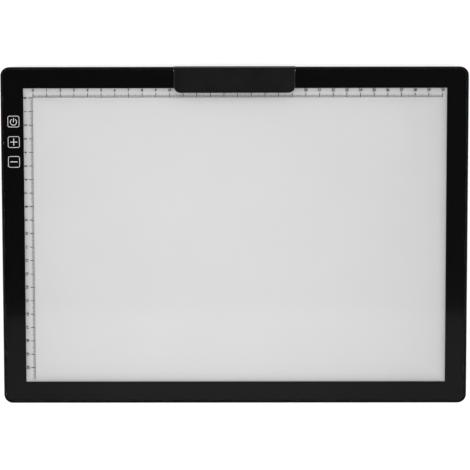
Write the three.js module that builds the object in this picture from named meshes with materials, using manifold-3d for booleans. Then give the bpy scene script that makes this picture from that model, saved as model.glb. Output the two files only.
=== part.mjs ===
// A slim A4 tracing pad: an edge-lit light panel in a moulded frame, with a
// glossy front sheet, touch keys and a spring clip that slides along the far edge.
// Millimetres. +X to the right, +Y to the far edge (the one with the clip), +Z up
// out of the drawing face. Z = 0 is the table under the rubber feet.

import * as THREE from 'three';
import { mergeVertices, toCreasedNormals } from 'three/addons/utils/BufferGeometryUtils.js';
import Module from 'manifold-3d';

const wasm = await Module();
wasm.setup();

// ---------------------------------------------------------------- dimensions

// pad outline
const PAD_W = 343; // along X
const PAD_D = 249; // along Y
const PAD_R = 6.5; // corner radius in plan
const EDGE_R = 0.75; // rounding of the frame's outer edges
const WALL = 1.75; // frame side wall, seen from above as the lip

// heights of the layers
const FOOT_H = 2; // underside of the pad above the table
const COVER_TOP = 3.5; // back cover is 1.5 thick
const REFLECTOR_TOP = 3.75;
const GUIDE_TOP = 6.75; // light guide plate is 3 thick
const DIFFUSER_TOP = 7.25;
const LEDGE_BOTTOM = 6;
const LEDGE_TOP = 7.25;
const SHEET_BOTTOM = 7.5; // 0.25 of adhesive tape under the front sheet
const SHEET_TOP = 8.75;
const LIP_TOP = 9;

// inside the frame
const IN_X = PAD_W / 2 - WALL; // 169.75
const IN_Y = PAD_D / 2 - WALL; // 122.75
const IN_R = PAD_R - WALL;
const LEDGE_W = 4;
const SHEET_GAP = 0.125; // seam round the front sheet
const COVER_GAP = 0.25;

// optical stack
const GUIDE_X = 157; // half sizes
const GUIDE_Y = 110.5;
const FOAM_T = 1.5;
const RIB_T = 1;

// LED strip along the near edge of the light guide
const LED_COUNT = 60;
const LED_PITCH = 5.125;
const STRIP_X = 155; // half length
const STRIP_Y = -111.5; // face of the strip's board
const STRIP_T = 1;
const SPREADER_T = 0.75;

// touch keys and control board, in the left border
const KEY_X = -162;
const KEY_Y = [84.6, 69.3, 54.6]; // power, plus, minus
const BOARD = { x0: -168.5, x1: -158.25, y0: 43.5, y1: 108, z0: 4, z1: 5 };
const USB_Y = 100;
const USB_W = 7.5;
const USB_H = 2.4;
const USB_L = 5.6;

// cover screws and feet
const BOSS_R = 2.5;
const SCREWS = [
  ['cover_screw_far_left', -164.5, 118],
  ['cover_screw_far_mid_left', -57, 118.5],
  ['cover_screw_far_mid_right', 57, 118.5],
  ['cover_screw_far_right', 164.5, 118],
  ['cover_screw_near_left', -164.5, -118],
  ['cover_screw_near_mid_left', -57, -118.5],
  ['cover_screw_near_mid_right', 57, -118.5],
  ['cover_screw_near_right', 164.5, -118],
];
const FOOT_R = 5;
const FEET = [
  ['foot_far_left', -155, 105.5],
  ['foot_far_middle', 0, 105.5],
  ['foot_far_right', 155, 105.5],
  ['foot_near_left', -155, -105.5],
  ['foot_near_middle', 0, -105.5],
  ['foot_near_right', 155, -105.5],
];

// clip
const CLIP_X = 44.25; // half width
const CLIP_FRONT_Y = 105.5625; // free edge of the jaw
const CLIP_REAR_Y = 124.875; // outside of the bracket's back wall
const CLIP_SHEET = 0.3125; // bracket sheet thickness
const CLIP_BEND = 1; // outside bend radius
const CLIP_CORNER_R = 5; // free corners of the jaw in plan
const LEAF_Z0 = 1; // underside of the leaf below the pad
const LEAF_FRONT_Y = 112.5;
const FLANGE_Z0 = 9.0625;
const FLANGE_FRONT_Y = 115.5;
const FLANGE_X = 42;
const PIN_Y = 121.875;
const PIN_Z = 11.5;
const PIN_R = 0.6;
const PIN_OUT = 0.45; // pin end standing out of the jaw
const BARREL_R = 1.75;
const EAR_R = 1.1;
const EAR_W = 3;
const EAR_X = [-39, -12, 12, 39];
const SPRING_X = [-25.5, 25.5];
const SPRING_TURNS = 6;
const SPRING_PITCH = 0.65;
const SPRING_WIRE = 0.4;
const SPRING_MEAN_R = 0.95;
const JAW_TOP = PIN_Z + BARREL_R; // 13.25
const JAW_PLATE = 1.5;
const JAW_WALL = 1.6;
const JAW_OPEN = 50; // degrees
const JAW_EDGE_R = 0.3; // rounding along the jaw's back edge
const JAW_REAR_Y = 124.125;
const NOSE_Z = 9.25;

// ----------------------------------------------------------------- materials

const mat = (color, roughness, metalness = 0, extra = {}) =>
  new THREE.MeshStandardMaterial({ color, roughness, metalness, ...extra });

const FRAME_BLACK = mat(0x131313, 0.5);
const COVER_BLACK = mat(0x1a1a1a, 0.7);
const CLIP_BLACK = mat(0x1c1c1c, 0.45);
const CLIP_STEEL = mat(0x202020, 0.4, 0.3);
const STEEL = mat(0xb5b5b5, 0.3, 1);
const RUBBER = mat(0x1e1e1e, 0.9);
const GLOSS = mat(0xe9e9e9, 0.08, 0, { transparent: true, opacity: 0.6 });
const DIFFUSER = mat(0xdedede, 0.9);
const GUIDE = mat(0xeef4f2, 0.05, 0, { transparent: true, opacity: 0.5 });
const WHITE_FILM = mat(0xf6f6f6, 0.6);
const PCB_WHITE = mat(0xe8e8e2, 0.5);
const PCB_GREEN = mat(0x1d5a35, 0.5);
const ALUMINIUM = mat(0xc2c4c6, 0.4, 1);
const CHIP = mat(0x171717, 0.6);
const CERAMIC = mat(0xb59a6c, 0.6);
const CONNECTOR = mat(0xe5e1d6, 0.5);
const SPRING_STEEL = mat(0xc9b98a, 0.35, 1);
const FOAM = mat(0x303030, 1);
const TAPE = mat(0x2a2a2a, 0.8);
const RED = mat(0xa61c1c, 0.6);
const BLACK = mat(0x151515, 0.6);

// ------------------------------------------------------------------- helpers

const pad = new THREE.Group();
const clip = new THREE.Group();

function node(name, geometry, material, group = pad) {
  const mesh = new THREE.Mesh(geometry, material);
  mesh.name = name;
  group.add(mesh);
  return mesh;
}

function box(x0, x1, y0, y1, z0, z1) {
  const g = new THREE.BoxGeometry(x1 - x0, y1 - y0, z1 - z0);
  g.translate((x0 + x1) / 2, (y0 + y1) / 2, (z0 + z1) / 2);
  return g;
}

// rounded rectangle outline; r may be one radius or [near-left, near-right, far-right, far-left]
function outline(x0, x1, y0, y1, r) {
  const [nl, nr, fr, fl] = Array.isArray(r) ? r : [r, r, r, r];
  const s = new THREE.Shape();
  s.moveTo(x0 + nl, y0);
  s.lineTo(x1 - nr, y0);
  if (nr) s.absarc(x1 - nr, y0 + nr, nr, -Math.PI / 2, 0, false);
  s.lineTo(x1, y1 - fr);
  if (fr) s.absarc(x1 - fr, y1 - fr, fr, 0, Math.PI / 2, false);
  s.lineTo(x0 + fl, y1);
  if (fl) s.absarc(x0 + fl, y1 - fl, fl, Math.PI / 2, Math.PI, false);
  s.lineTo(x0, y0 + nl);
  if (nl) s.absarc(x0 + nl, y0 + nl, nl, Math.PI, 1.5 * Math.PI, false);
  return s;
}

function slab(shape, z0, z1, curveSegments = 4) {
  const g = new THREE.ExtrudeGeometry(shape, { depth: z1 - z0, bevelEnabled: false, curveSegments });
  g.translate(0, 0, z0);
  return g;
}

// slab with both rims rounded by b
function roundedSlab(shape, z0, z1, b, bevelSegments = 2, curveSegments = 4) {
  const g = new THREE.ExtrudeGeometry(shape, {
    depth: z1 - z0 - 2 * b,
    bevelEnabled: true,
    bevelThickness: b,
    bevelSize: b,
    bevelOffset: -b,
    bevelSegments,
    curveSegments,
  });
  g.translate(0, 0, z0 + b);
  return g;
}

// upright cylinder
function post(x, y, r, z0, z1, sides = 16) {
  const g = new THREE.CylinderGeometry(r, r, z1 - z0, sides);
  g.rotateX(Math.PI / 2);
  g.translate(x, y, (z0 + z1) / 2);
  return g;
}

// body of revolution about a vertical axis at (x, y); profile of [radius, z]
function turned(x, y, profile, sides = 16) {
  const g = new THREE.LatheGeometry(profile.map(([r, z]) => new THREE.Vector2(r, z)), sides);
  g.rotateX(Math.PI / 2);
  g.translate(x, y, 0);
  return g;
}

// cylinder along X
function rodX(x0, x1, y, z, r, sides = 16) {
  const g = new THREE.CylinderGeometry(r, r, x1 - x0, sides);
  g.rotateZ(Math.PI / 2);
  g.translate((x0 + x1) / 2, y, z);
  return g;
}

// section drawn in (y, z), drawn out along X from x0 to x1
function alongX(shape, x0, x1, curveSegments = 2) {
  const g = new THREE.ExtrudeGeometry(shape, { depth: x1 - x0, bevelEnabled: false, curveSegments });
  g.applyMatrix4(new THREE.Matrix4().set(0, 0, 1, x0, 1, 0, 0, 0, 0, 1, 0, 0, 0, 0, 0, 1));
  return g;
}

// round wire of diameter d along a curve
function wire(curve, d, steps, sides = 6) {
  const ring = new THREE.Shape();
  for (let i = 0; i < sides; i++) {
    const a = (2 * Math.PI * i) / sides;
    const p = [(d / 2) * Math.cos(a), (d / 2) * Math.sin(a)];
    if (i) ring.lineTo(...p);
    else ring.moveTo(...p);
  }
  return new THREE.ExtrudeGeometry(ring, { steps, bevelEnabled: false, extrudePath: curve });
}

function solid(g) {
  let h = g.clone();
  h.deleteAttribute('normal');
  h.deleteAttribute('uv');
  h = mergeVertices(h, 1e-5);
  return new wasm.Manifold(
    new wasm.Mesh({
      numProp: 3,
      vertProperties: new Float32Array(h.attributes.position.array),
      triVerts: new Uint32Array(h.index.array),
    }),
  );
}

function shapeOf(s) {
  const m = s.getMesh();
  const g = new THREE.BufferGeometry();
  g.setAttribute('position', new THREE.BufferAttribute(new Float32Array(m.vertProperties), 3));
  g.setIndex(new THREE.BufferAttribute(new Uint32Array(m.triVerts), 1));
  return toCreasedNormals(g, 0.5);
}

const join = (...gs) => gs.map((g) => (g.isBufferGeometry ? solid(g) : g)).reduce((a, b) => a.add(b));
const cut = (a, ...gs) =>
  gs.map((g) => (g.isBufferGeometry ? solid(g) : g)).reduce((s, g) => s.subtract(g), a.isBufferGeometry ? solid(a) : a);

const rect = (hx, hy, r) => outline(-hx, hx, -hy, hy, r);

// --------------------------------------------------------------- bezel frame

{
  let frame = solid(roundedSlab(rect(PAD_W / 2, PAD_D / 2, PAD_R), FOOT_H, LIP_TOP, EDGE_R));
  // seat of the front sheet
  frame = cut(frame, slab(rect(IN_X, IN_Y, IN_R), LEDGE_TOP, LIP_TOP + 1));
  // room below the ledge
  frame = cut(frame, slab(rect(IN_X, IN_Y, IN_R), FOOT_H - 1, LEDGE_BOTTOM));
  // opening inside the ledge
  frame = cut(frame, slab(rect(IN_X - LEDGE_W, IN_Y - LEDGE_W, 2), FOOT_H - 1, LIP_TOP + 1));
  // screw bosses
  for (const [, x, y] of SCREWS) frame = join(frame, post(x, y, BOSS_R, COVER_TOP, LEDGE_TOP));
  for (const [, x, y] of SCREWS) frame = cut(frame, post(x, y, 1, COVER_TOP - 1, 6.75));
  // stiffening webs from the ledge down to the cover, beside each boss
  for (const [, x, y] of SCREWS) {
    const s = Math.sign(y);
    frame = join(frame, box(x - 0.6, x + 0.6, Math.min(s * 120.2, s * 123.5), Math.max(s * 120.2, s * 123.5), COVER_TOP, LEDGE_BOTTOM + 0.5));
  }
  // window for the power socket
  frame = cut(frame, box(-PAD_W / 2 - 1, -IN_X + LEDGE_W + 1, USB_Y - USB_W / 2 - 0.35, USB_Y + USB_W / 2 + 0.35, 4.75, 7.75));
  node('bezel_frame', shapeOf(frame), FRAME_BLACK);
}

// ---------------------------------------------------------------- back cover

{
  let cover = solid(slab(rect(IN_X - COVER_GAP, IN_Y - COVER_GAP, IN_R - COVER_GAP), FOOT_H, COVER_TOP));
  // ribs that locate the light guide
  const rx = GUIDE_X + FOAM_T;
  const ry = GUIDE_Y + FOAM_T;
  cover = join(cover, box(rx, rx + RIB_T, -100, 100, COVER_TOP - 0.5, 6));
  cover = join(cover, box(-rx - RIB_T, -rx, -100, 38, COVER_TOP - 0.5, 6));
  cover = join(cover, box(-150, 150, ry, ry + RIB_T, COVER_TOP - 0.5, 6));
  // posts under the control board
  cover = join(cover, post(-163.5, 106, 1.5, COVER_TOP - 0.5, BOARD.z0), post(-163.5, 62, 1.5, COVER_TOP - 0.5, BOARD.z0), post(-166, 46, 1.5, COVER_TOP - 0.5, BOARD.z0));
  // countersunk screw holes
  for (const [, x, y] of SCREWS) {
    cover = cut(cover, turned(x, y, [[0, FOOT_H - 0.5], [2, FOOT_H - 0.5], [2, FOOT_H], [1.05, 2.95], [1.05, COVER_TOP + 0.5], [0, COVER_TOP + 0.5]]));
  }
  node('back_cover', shapeOf(cover), COVER_BLACK);
}

for (const [name, x, y] of SCREWS) {
  const body = turned(x, y, [[0, FOOT_H + 0.0625], [1.85, FOOT_H + 0.0625], [1.85, FOOT_H + 0.125], [0.95, 3], [0.95, 6.375], [0.6, 6.625], [0, 6.625]], 16);
  const screw = cut(body, box(x - 1.1, x + 1.1, y - 0.22, y + 0.22, FOOT_H - 0.5, FOOT_H + 0.75), box(x - 0.22, x + 0.22, y - 1.1, y + 1.1, FOOT_H - 0.5, FOOT_H + 0.75));
  node(name, shapeOf(screw), STEEL);
}

for (const [name, x, y] of FEET) {
  node(
    name,
    turned(x, y, [[0, 0], [FOOT_R - 0.7, 0], [FOOT_R - 0.25, 0.375], [FOOT_R, FOOT_H], [0, FOOT_H]], 24),
    RUBBER,
  );
}

// ------------------------------------------------------------- optical stack

node('reflector_sheet', box(-GUIDE_X, GUIDE_X, -GUIDE_Y, GUIDE_Y, COVER_TOP, REFLECTOR_TOP), WHITE_FILM);
node('light_guide_plate', box(-GUIDE_X, GUIDE_X, -GUIDE_Y, GUIDE_Y, REFLECTOR_TOP, GUIDE_TOP), GUIDE);
node('diffuser_sheet', box(-GUIDE_X, GUIDE_X, -GUIDE_Y, GUIDE_Y, GUIDE_TOP, DIFFUSER_TOP), DIFFUSER);
node('guide_foam_right', box(GUIDE_X, GUIDE_X + FOAM_T, -95, 95, REFLECTOR_TOP, 6), FOAM);
node('guide_foam_left', box(-GUIDE_X - FOAM_T, -GUIDE_X, -95, 36, REFLECTOR_TOP, 6), FOAM);
node('guide_foam_far', box(-145, 145, GUIDE_Y, GUIDE_Y + FOAM_T, REFLECTOR_TOP, 6), FOAM);

node('front_sheet', slab(rect(IN_X - SHEET_GAP, IN_Y - SHEET_GAP, IN_R - SHEET_GAP), SHEET_BOTTOM, SHEET_TOP), GLOSS);

// double-sided tape between the ledge and the front sheet
{
  const a = 0.5;
  const w = LEDGE_W - 1;
  node('sheet_tape_far', box(-158, 158, IN_Y - a - w, IN_Y - a, LEDGE_TOP, SHEET_BOTTOM), TAPE);
  node('sheet_tape_near', box(-158, 158, -IN_Y + a, -IN_Y + a + w, LEDGE_TOP, SHEET_BOTTOM), TAPE);
  node('sheet_tape_right', box(IN_X - a - w, IN_X - a, -112, 112, LEDGE_TOP, SHEET_BOTTOM), TAPE);
  node('sheet_tape_left', box(-IN_X + a, -IN_X + a + w, -112, 94, LEDGE_TOP, SHEET_BOTTOM), TAPE);
}

// ----------------------------------------------------------------- LED strip

{
  let strip = solid(box(-STRIP_X, STRIP_X, STRIP_Y - STRIP_T, STRIP_Y, REFLECTOR_TOP, GUIDE_TOP));
  for (let i = 0; i < LED_COUNT; i++) {
    const x = (i - (LED_COUNT - 1) / 2) * LED_PITCH;
    strip = strip.add(solid(box(x - 1.75, x + 1.75, STRIP_Y - 0.25, STRIP_Y + 0.75, 4, 6.5)));
  }
  node('led_strip', shapeOf(strip), PCB_WHITE);

  const y1 = STRIP_Y - STRIP_T;
  const y0 = y1 - SPREADER_T;
  const angle = new THREE.Shape();
  angle.moveTo(y1, COVER_TOP);
  angle.lineTo(y1, 6.5);
  angle.lineTo(y0, 6.5);
  angle.lineTo(y0, COVER_TOP + SPREADER_T);
  angle.lineTo(-115.75, COVER_TOP + SPREADER_T);
  angle.lineTo(-115.75, COVER_TOP);
  node('heat_spreader', alongX(angle, -STRIP_X, STRIP_X), ALUMINIUM);
}

// ------------------------------------------------------------- control board

node('control_board', box(BOARD.x0, BOARD.x1, BOARD.y0, BOARD.y1, BOARD.z0, BOARD.z1), PCB_GREEN);

{
  // folded shell with an open mouth to the left and a contact tongue inside
  const x0 = -PAD_W / 2 + 0.25;
  const z0 = BOARD.z1;
  const y0 = USB_Y - USB_W / 2;
  const y1 = USB_Y + USB_W / 2;
  let shell = solid(box(x0, x0 + USB_L, y0, y1, z0, z0 + USB_H));
  shell = cut(shell, box(x0 - 1, x0 + USB_L - 0.6, y0 + 0.3, y1 - 0.3, z0 + 0.3, z0 + USB_H - 0.3));
  shell = join(shell, box(x0 + 0.8, x0 + USB_L - 0.3, y0 + 1.6, y1 - 1.6, z0 + 1.2, z0 + 1.6));
  node('power_socket', shapeOf(shell), STEEL);
}

function chip(name, cx, cy, w, l, h, legs, legPitch) {
  const z = BOARD.z1;
  let body = solid(box(cx - w / 2, cx + w / 2, cy - l / 2, cy + l / 2, z + 0.1, z + h));
  for (let i = 0; i < legs; i++) {
    const y = cy + (i - (legs - 1) / 2) * legPitch;
    for (const s of [-1, 1]) {
      const a = cx + s * (w / 2 - 0.2);
      const b = cx + s * (w / 2 + 0.8);
      const c = cx + s * (w / 2 + 0.4);
      body = join(body, box(Math.min(a, b), Math.max(a, b), y - 0.2, y + 0.2, z + 0.35, z + 0.6));
      body = join(body, box(Math.min(c, b), Math.max(c, b), y - 0.2, y + 0.2, z, z + 0.6));
    }
  }
  node(name, shapeOf(body), CHIP);
}
chip('touch_chip', -162.5, 77, 3.9, 4.9, 1.6, 4, 1.27);
chip('driver_chip', -162.5, 62, 2.6, 3, 1.2, 3, 0.95);

{
  const z = BOARD.z1;
  let coil = solid(box(-165, -161, 89.75, 93.75, z, z + 0.5));
  coil = join(coil, post(-163, 91.75, 1.7, z + 0.4, z + 2, 20));
  coil = cut(coil, post(-163, 91.75, 0.7, z + 1.7, z + 2.5, 12));
  node('driver_inductor', shapeOf(coil), CHIP);
  node('input_capacitor', box(-160.5, -159, 90.25, 93.25, z, z + 1.5), CERAMIC);

  let plug = solid(box(-165, -159.5, 45, 49.5, z, z + 2.25));
  plug = cut(plug, box(-164.4, -160.1, 44, 48.4, z + 0.5, z + 1.85));
  node('led_connector', shapeOf(plug), CONNECTOR);
}

// touch key springs, standing on the board and touching the back of the front sheet
class Coil extends THREE.Curve {
  constructor(centre, r0, r1, turns, z0, z1) {
    super();
    Object.assign(this, { centre, r0, r1, turns, z0, z1 });
  }
  getPoint(t, target = new THREE.Vector3()) {
    const a = 2 * Math.PI * this.turns * t;
    const r = this.r0 + (this.r1 - this.r0) * t;
    // flat first and last turn, rising in between
    const k = THREE.MathUtils.smoothstep(t, 0.05, 0.95);
    return target.set(this.centre.x + r * Math.cos(a), this.centre.y + r * Math.sin(a), this.z0 + (this.z1 - this.z0) * k);
  }
}
['touch_spring_power', 'touch_spring_plus', 'touch_spring_minus'].forEach((name, i) => {
  const c = new THREE.Vector2(KEY_X, KEY_Y[i]);
  node(name, wire(new Coil(c, 1.6, 3.1, 3.5, BOARD.z1 + 0.23, SHEET_BOTTOM - 0.23), 0.4, 36, 6), SPRING_STEEL);
});

// the two leads from the board to the LED strip, laid in the left channel
function lead(name, x, zEnd, material) {
  const pts = [
    [x, 47.5, 6.15],
    [x, 44, 6.1],
    [x, 38, 5.2],
    [x, 30, 4.3],
    [x, 0, 4.3],
    [x, -40, 4.3],
    [x, -80, 4.3],
    [x + 0.4, -100, 4.6],
    [x + 2.2, -108.5, zEnd],
    [-158.2, -112, zEnd],
    [-155.3, -112, zEnd],
  ].map((p) => new THREE.Vector3(...p));
  node(name, wire(new THREE.CatmullRomCurve3(pts, false, 'centripetal'), 0.9, 28, 6), material);
}
lead('led_lead_red', -163.2, 5.9, RED);
lead('led_lead_black', -161.4, 4.5, BLACK);

// ---------------------------------------------------------------------- clip

{
  // sheet hooked over the far edge: leaf below, back wall, flange above the lip
  const t = CLIP_SHEET;
  const R = CLIP_BEND;
  const yo = CLIP_REAR_Y;
  const zTop = FLANGE_Z0 + t;
  const s = new THREE.Shape();
  s.moveTo(LEAF_FRONT_Y, LEAF_Z0);
  s.lineTo(yo - R, LEAF_Z0);
  s.absarc(yo - R, LEAF_Z0 + R, R, -Math.PI / 2, 0, false);
  s.lineTo(yo, zTop - R);
  s.absarc(yo - R, zTop - R, R, 0, Math.PI / 2, false);
  s.lineTo(FLANGE_FRONT_Y, zTop);
  s.lineTo(FLANGE_FRONT_Y, FLANGE_Z0);
  s.lineTo(yo - R, FLANGE_Z0);
  s.absarc(yo - R, zTop - R, R - t, Math.PI / 2, 0, true);
  s.lineTo(yo - t, LEAF_Z0 + R);
  s.absarc(yo - R, LEAF_Z0 + R, R - t, 0, -Math.PI / 2, true);
  s.lineTo(LEAF_FRONT_Y, LEAF_Z0 + t);
  let bracket = solid(alongX(s, -CLIP_X, CLIP_X, 3));
  // the flange is narrower than the jaw, so the jaw's ends close over it
  for (const k of [-1, 1]) {
    const a = k * FLANGE_X;
    const b = k * (CLIP_X + 1);
    bracket = cut(bracket, box(Math.min(a, b), Math.max(a, b), FLANGE_FRONT_Y - 1, 123.5, FLANGE_Z0 - 0.4, zTop + 0.5));
  }
  // eyes for the pin
  for (const x of EAR_X) {
    bracket = join(bracket, rodX(x - EAR_W / 2, x + EAR_W / 2, PIN_Y, PIN_Z, EAR_R, 20));
    bracket = join(bracket, box(x - EAR_W / 2, x + EAR_W / 2, PIN_Y - EAR_R, PIN_Y + EAR_R, zTop - 0.25, PIN_Z));
  }
  bracket = cut(bracket, rodX(-CLIP_X - 1, CLIP_X + 1, PIN_Y, PIN_Z, PIN_R + 0.05, 16));
  node('clip_bracket', shapeOf(bracket), CLIP_STEEL, clip);

  // felt pads between the leaf and the underside of the pad
  node('bracket_pad_left', box(-38, -22, LEAF_FRONT_Y + 1.5, LEAF_FRONT_Y + 8.5, LEAF_Z0 + t, FOOT_H - 0.0625), FOAM, clip);
  node('bracket_pad_right', box(22, 38, LEAF_FRONT_Y + 1.5, LEAF_FRONT_Y + 8.5, LEAF_Z0 + t, FOOT_H - 0.0625), FOAM, clip);
}

{
  // hinge pin with domed ends
  const h = CLIP_X + PIN_OUT;
  const profile = [
    [0, -h],
    [0.3, -h + 0.05],
    [0.52, -h + 0.17],
    [PIN_R, -h + 0.35],
    [PIN_R, h - 0.35],
    [0.52, h - 0.17],
    [0.3, h - 0.05],
    [0, h],
  ].map(([r, y]) => new THREE.Vector2(r, y));
  const g = new THREE.LatheGeometry(profile, 16);
  g.rotateZ(Math.PI / 2);
  g.translate(0, PIN_Y, PIN_Z);
  node('clip_hinge_pin', g, STEEL, clip);
}

// torsion springs round the pin: one leg forward on the flange, one short leg up at the back
class TorsionSpring extends THREE.Curve {
  constructor(x) {
    super();
    const pts = [];
    const r = SPRING_MEAN_R;
    const len = SPRING_TURNS * SPRING_PITCH;
    const zLeg = FLANGE_Z0 + CLIP_SHEET + SPRING_WIRE / 2 + 0.05;
    // forward leg, from its tip back to the bottom of the coil
    pts.push([x - len / 2, PIN_Y - 6, zLeg], [x - len / 2, PIN_Y - 4, zLeg + 0.06], [x - len / 2, PIN_Y - 2, PIN_Z - r - 0.3], [x - len / 2, PIN_Y - 0.7, PIN_Z - r - 0.04]);
    const n = SPRING_TURNS * 10;
    for (let i = 0; i <= n; i++) {
      // starts at the bottom heading to the back, then up, forward and down
      const a = -Math.PI / 2 + (2 * Math.PI * i) / 10;
      if (i > n - 7) break; // ends at the back, heading up
      pts.push([x - len / 2 + (len * i) / n, PIN_Y + r * Math.cos(a), PIN_Z + r * Math.sin(a)]);
    }
    const last = pts[pts.length - 1];
    pts.push([last[0], last[1] + 0.02, last[2] + 0.3], [last[0], last[1] + 0.02, last[2] + 0.6]);
    this.points = pts.map((p) => new THREE.Vector3(...p));
    this.curve = new THREE.CatmullRomCurve3(this.points, false, 'centripetal');
  }
  getPoint(t, target = new THREE.Vector3()) {
    return this.curve.getPoint(t, target);
  }
}
['clip_spring_left', 'clip_spring_right'].forEach((name, i) => {
  const curve = new TorsionSpring(SPRING_X[i]);
  node(name, wire(curve, SPRING_WIRE, curve.points.length - 1, 6), SPRING_STEEL, clip);
});

{
  // jaw: a shallow tray turned over, with a barrel along its back edge
  const plan = outline(-CLIP_X, CLIP_X, CLIP_FRONT_Y, JAW_REAR_Y + 1, [CLIP_CORNER_R, CLIP_CORNER_R, 0.7, 0.7]);
  const side = new THREE.Shape();
  side.moveTo(CLIP_FRONT_Y - 1, NOSE_Z);
  side.lineTo(CLIP_FRONT_Y + 2.6, NOSE_Z);
  side.lineTo(CLIP_FRONT_Y + 3.1, PIN_Z - BARREL_R);
  side.lineTo(PIN_Y, PIN_Z - BARREL_R);
  // round below, so that it turns over the flange, and square above, with a small rounding
  side.absarc(PIN_Y, PIN_Z, BARREL_R, -Math.PI / 2, 0, false);
  side.lineTo(JAW_REAR_Y, PIN_Z + 0.5);
  side.lineTo(JAW_REAR_Y, JAW_TOP - JAW_EDGE_R);
  side.absarc(JAW_REAR_Y - JAW_EDGE_R, JAW_TOP - JAW_EDGE_R, JAW_EDGE_R, 0, Math.PI / 2, false);
  side.lineTo(CLIP_FRONT_Y - 1, JAW_TOP);
  let jaw = solid(roundedSlab(plan, NOSE_Z - 3, JAW_TOP, 0.45, 3, 4)).intersect(solid(alongX(side, -CLIP_X - 1, CLIP_X + 1, 7)));
  // hollow inside the skirt
  const w = JAW_WALL;
  jaw = cut(jaw, slab(outline(-CLIP_X + w, CLIP_X - w, CLIP_FRONT_Y + w + 0.4, PIN_Y - 2.4, [2.4, 2.4, 0.5, 0.5]), NOSE_Z - 2, JAW_TOP - JAW_PLATE));
  // pin hole
  jaw = cut(jaw, rodX(-CLIP_X - 1, CLIP_X + 1, PIN_Y, PIN_Z, PIN_R + 0.05, 16));
  // pockets for the bracket's eyes: round the eye, and the path of its foot while the jaw opens
  for (const x of EAR_X) {
    const h = EAR_W / 2 + 0.25;
    jaw = cut(jaw, rodX(x - h, x + h, PIN_Y, PIN_Z, EAR_R + 0.15, 16));
    for (let a = 0; a <= JAW_OPEN + 4; a += 13.5) {
      const b = box(x - h, x + h, -EAR_R - 0.15, EAR_R + 0.15, -4, 0);
      b.rotateX(THREE.MathUtils.degToRad(a)); // down swings to the back
      b.translate(0, PIN_Y, PIN_Z);
      jaw = cut(jaw, b);
    }
  }
  // pockets for the springs, open below
  for (const x of SPRING_X) {
    const h = (SPRING_TURNS * SPRING_PITCH) / 2 + 0.6;
    jaw = cut(jaw, rodX(x - h, x + h, PIN_Y, PIN_Z, 1.42, 20));
    jaw = cut(jaw, box(x - h, x + h, PIN_Y - 3.6, PIN_Y + 3, PIN_Z - 4, PIN_Z + 0.05));
  }
  node('clip_jaw', shapeOf(jaw), CLIP_BLACK, clip);

  // ribbed rubber strip under the free edge
  let grip = solid(box(-36, 36, CLIP_FRONT_Y + 0.5, CLIP_FRONT_Y + 2.5, SHEET_TOP + 0.0625, NOSE_Z));
  for (let x = -33; x <= 33; x += 3) grip = cut(grip, box(x - 0.3, x + 0.3, CLIP_FRONT_Y, CLIP_FRONT_Y + 3, SHEET_TOP - 0.5, SHEET_TOP + 0.2));
  node('jaw_grip_strip', shapeOf(grip), RUBBER, clip);
}

// ---------------------------------------------------------------------- whole

// the origin is under the middle of the whole object, clip included
const tracingPad = new THREE.Group();
tracingPad.add(pad, clip);
tracingPad.position.y = -(CLIP_REAR_Y - PAD_D / 2) / 2;

export default tracingPad;
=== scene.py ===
import math

import bmesh
import bpy
from mathutils import Matrix, Vector


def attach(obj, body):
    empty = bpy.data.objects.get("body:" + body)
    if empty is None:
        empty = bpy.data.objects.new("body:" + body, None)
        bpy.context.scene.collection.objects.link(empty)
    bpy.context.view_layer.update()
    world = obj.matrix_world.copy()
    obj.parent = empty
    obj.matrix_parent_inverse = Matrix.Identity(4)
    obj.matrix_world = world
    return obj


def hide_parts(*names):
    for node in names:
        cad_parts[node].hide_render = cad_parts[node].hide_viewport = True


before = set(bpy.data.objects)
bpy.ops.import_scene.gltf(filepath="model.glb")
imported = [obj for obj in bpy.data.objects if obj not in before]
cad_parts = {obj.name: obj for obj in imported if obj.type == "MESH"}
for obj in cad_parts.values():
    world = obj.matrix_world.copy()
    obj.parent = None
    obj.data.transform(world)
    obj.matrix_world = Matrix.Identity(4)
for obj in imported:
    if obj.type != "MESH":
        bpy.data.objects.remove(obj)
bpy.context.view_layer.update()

MM = 0.001
Y0 = -0.1875  # the pad's middle in the row frame, mm; the drawing lengths below are from the pad's middle

scene = bpy.context.scene
scene.view_settings.view_transform = "Standard"
scene.view_settings.look = "None"
scene.view_settings.exposure = 0.0
scene.view_settings.gamma = 1.0


# ------------------------------------------------------------------ dimensions

PAD_X, PAD_Y, PAD_R = 171.5, 124.5, 6.5
EDGE_R = 0.75
WALL = 1.75
FOOT_H, COVER_TOP = 2.0, 3.5
LEDGE_BOTTOM, LEDGE_TOP, LIP_TOP = 6.0, 7.25, 9.0
SHEET_BOTTOM, SHEET_TOP = 7.6, 8.75
PRINT = (7.50, 7.54)
SYMBOL = (7.555, 7.585)
IN_X, IN_Y, IN_R = PAD_X - WALL, PAD_Y - WALL, PAD_R - WALL
WINDOW = (-154.92, 155.67, -108.59, 108.86)  # x0, x1, y0, y1 of the clear opening
RULER_X, RULER_Y = -147.7, 101.9  # zero of both rulers
SCREWS = [
    ("cover_screw_far_left", -164.5, 118.0), ("cover_screw_far_mid_left", -57.0, 118.5),
    ("cover_screw_far_mid_right", 57.0, 118.5), ("cover_screw_far_right", 164.5, 118.0),
    ("cover_screw_near_left", -164.5, -118.0), ("cover_screw_near_mid_left", -57.0, -118.5),
    ("cover_screw_near_mid_right", 57.0, -118.5), ("cover_screw_near_right", 164.5, -118.0),
]
FEET = [
    ("foot_far_left", -155.0, 105.5), ("foot_far_middle", 0.0, 105.5), ("foot_far_right", 155.0, 105.5),
    ("foot_near_left", -155.0, -105.5), ("foot_near_middle", 0.0, -105.5), ("foot_near_right", 155.0, -105.5),
]
KEY_X, KEY_Y = -162.0, (84.6, 69.3, 54.6)
SOCKET_Y = 100.0
CLIP_X = 44.25
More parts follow.
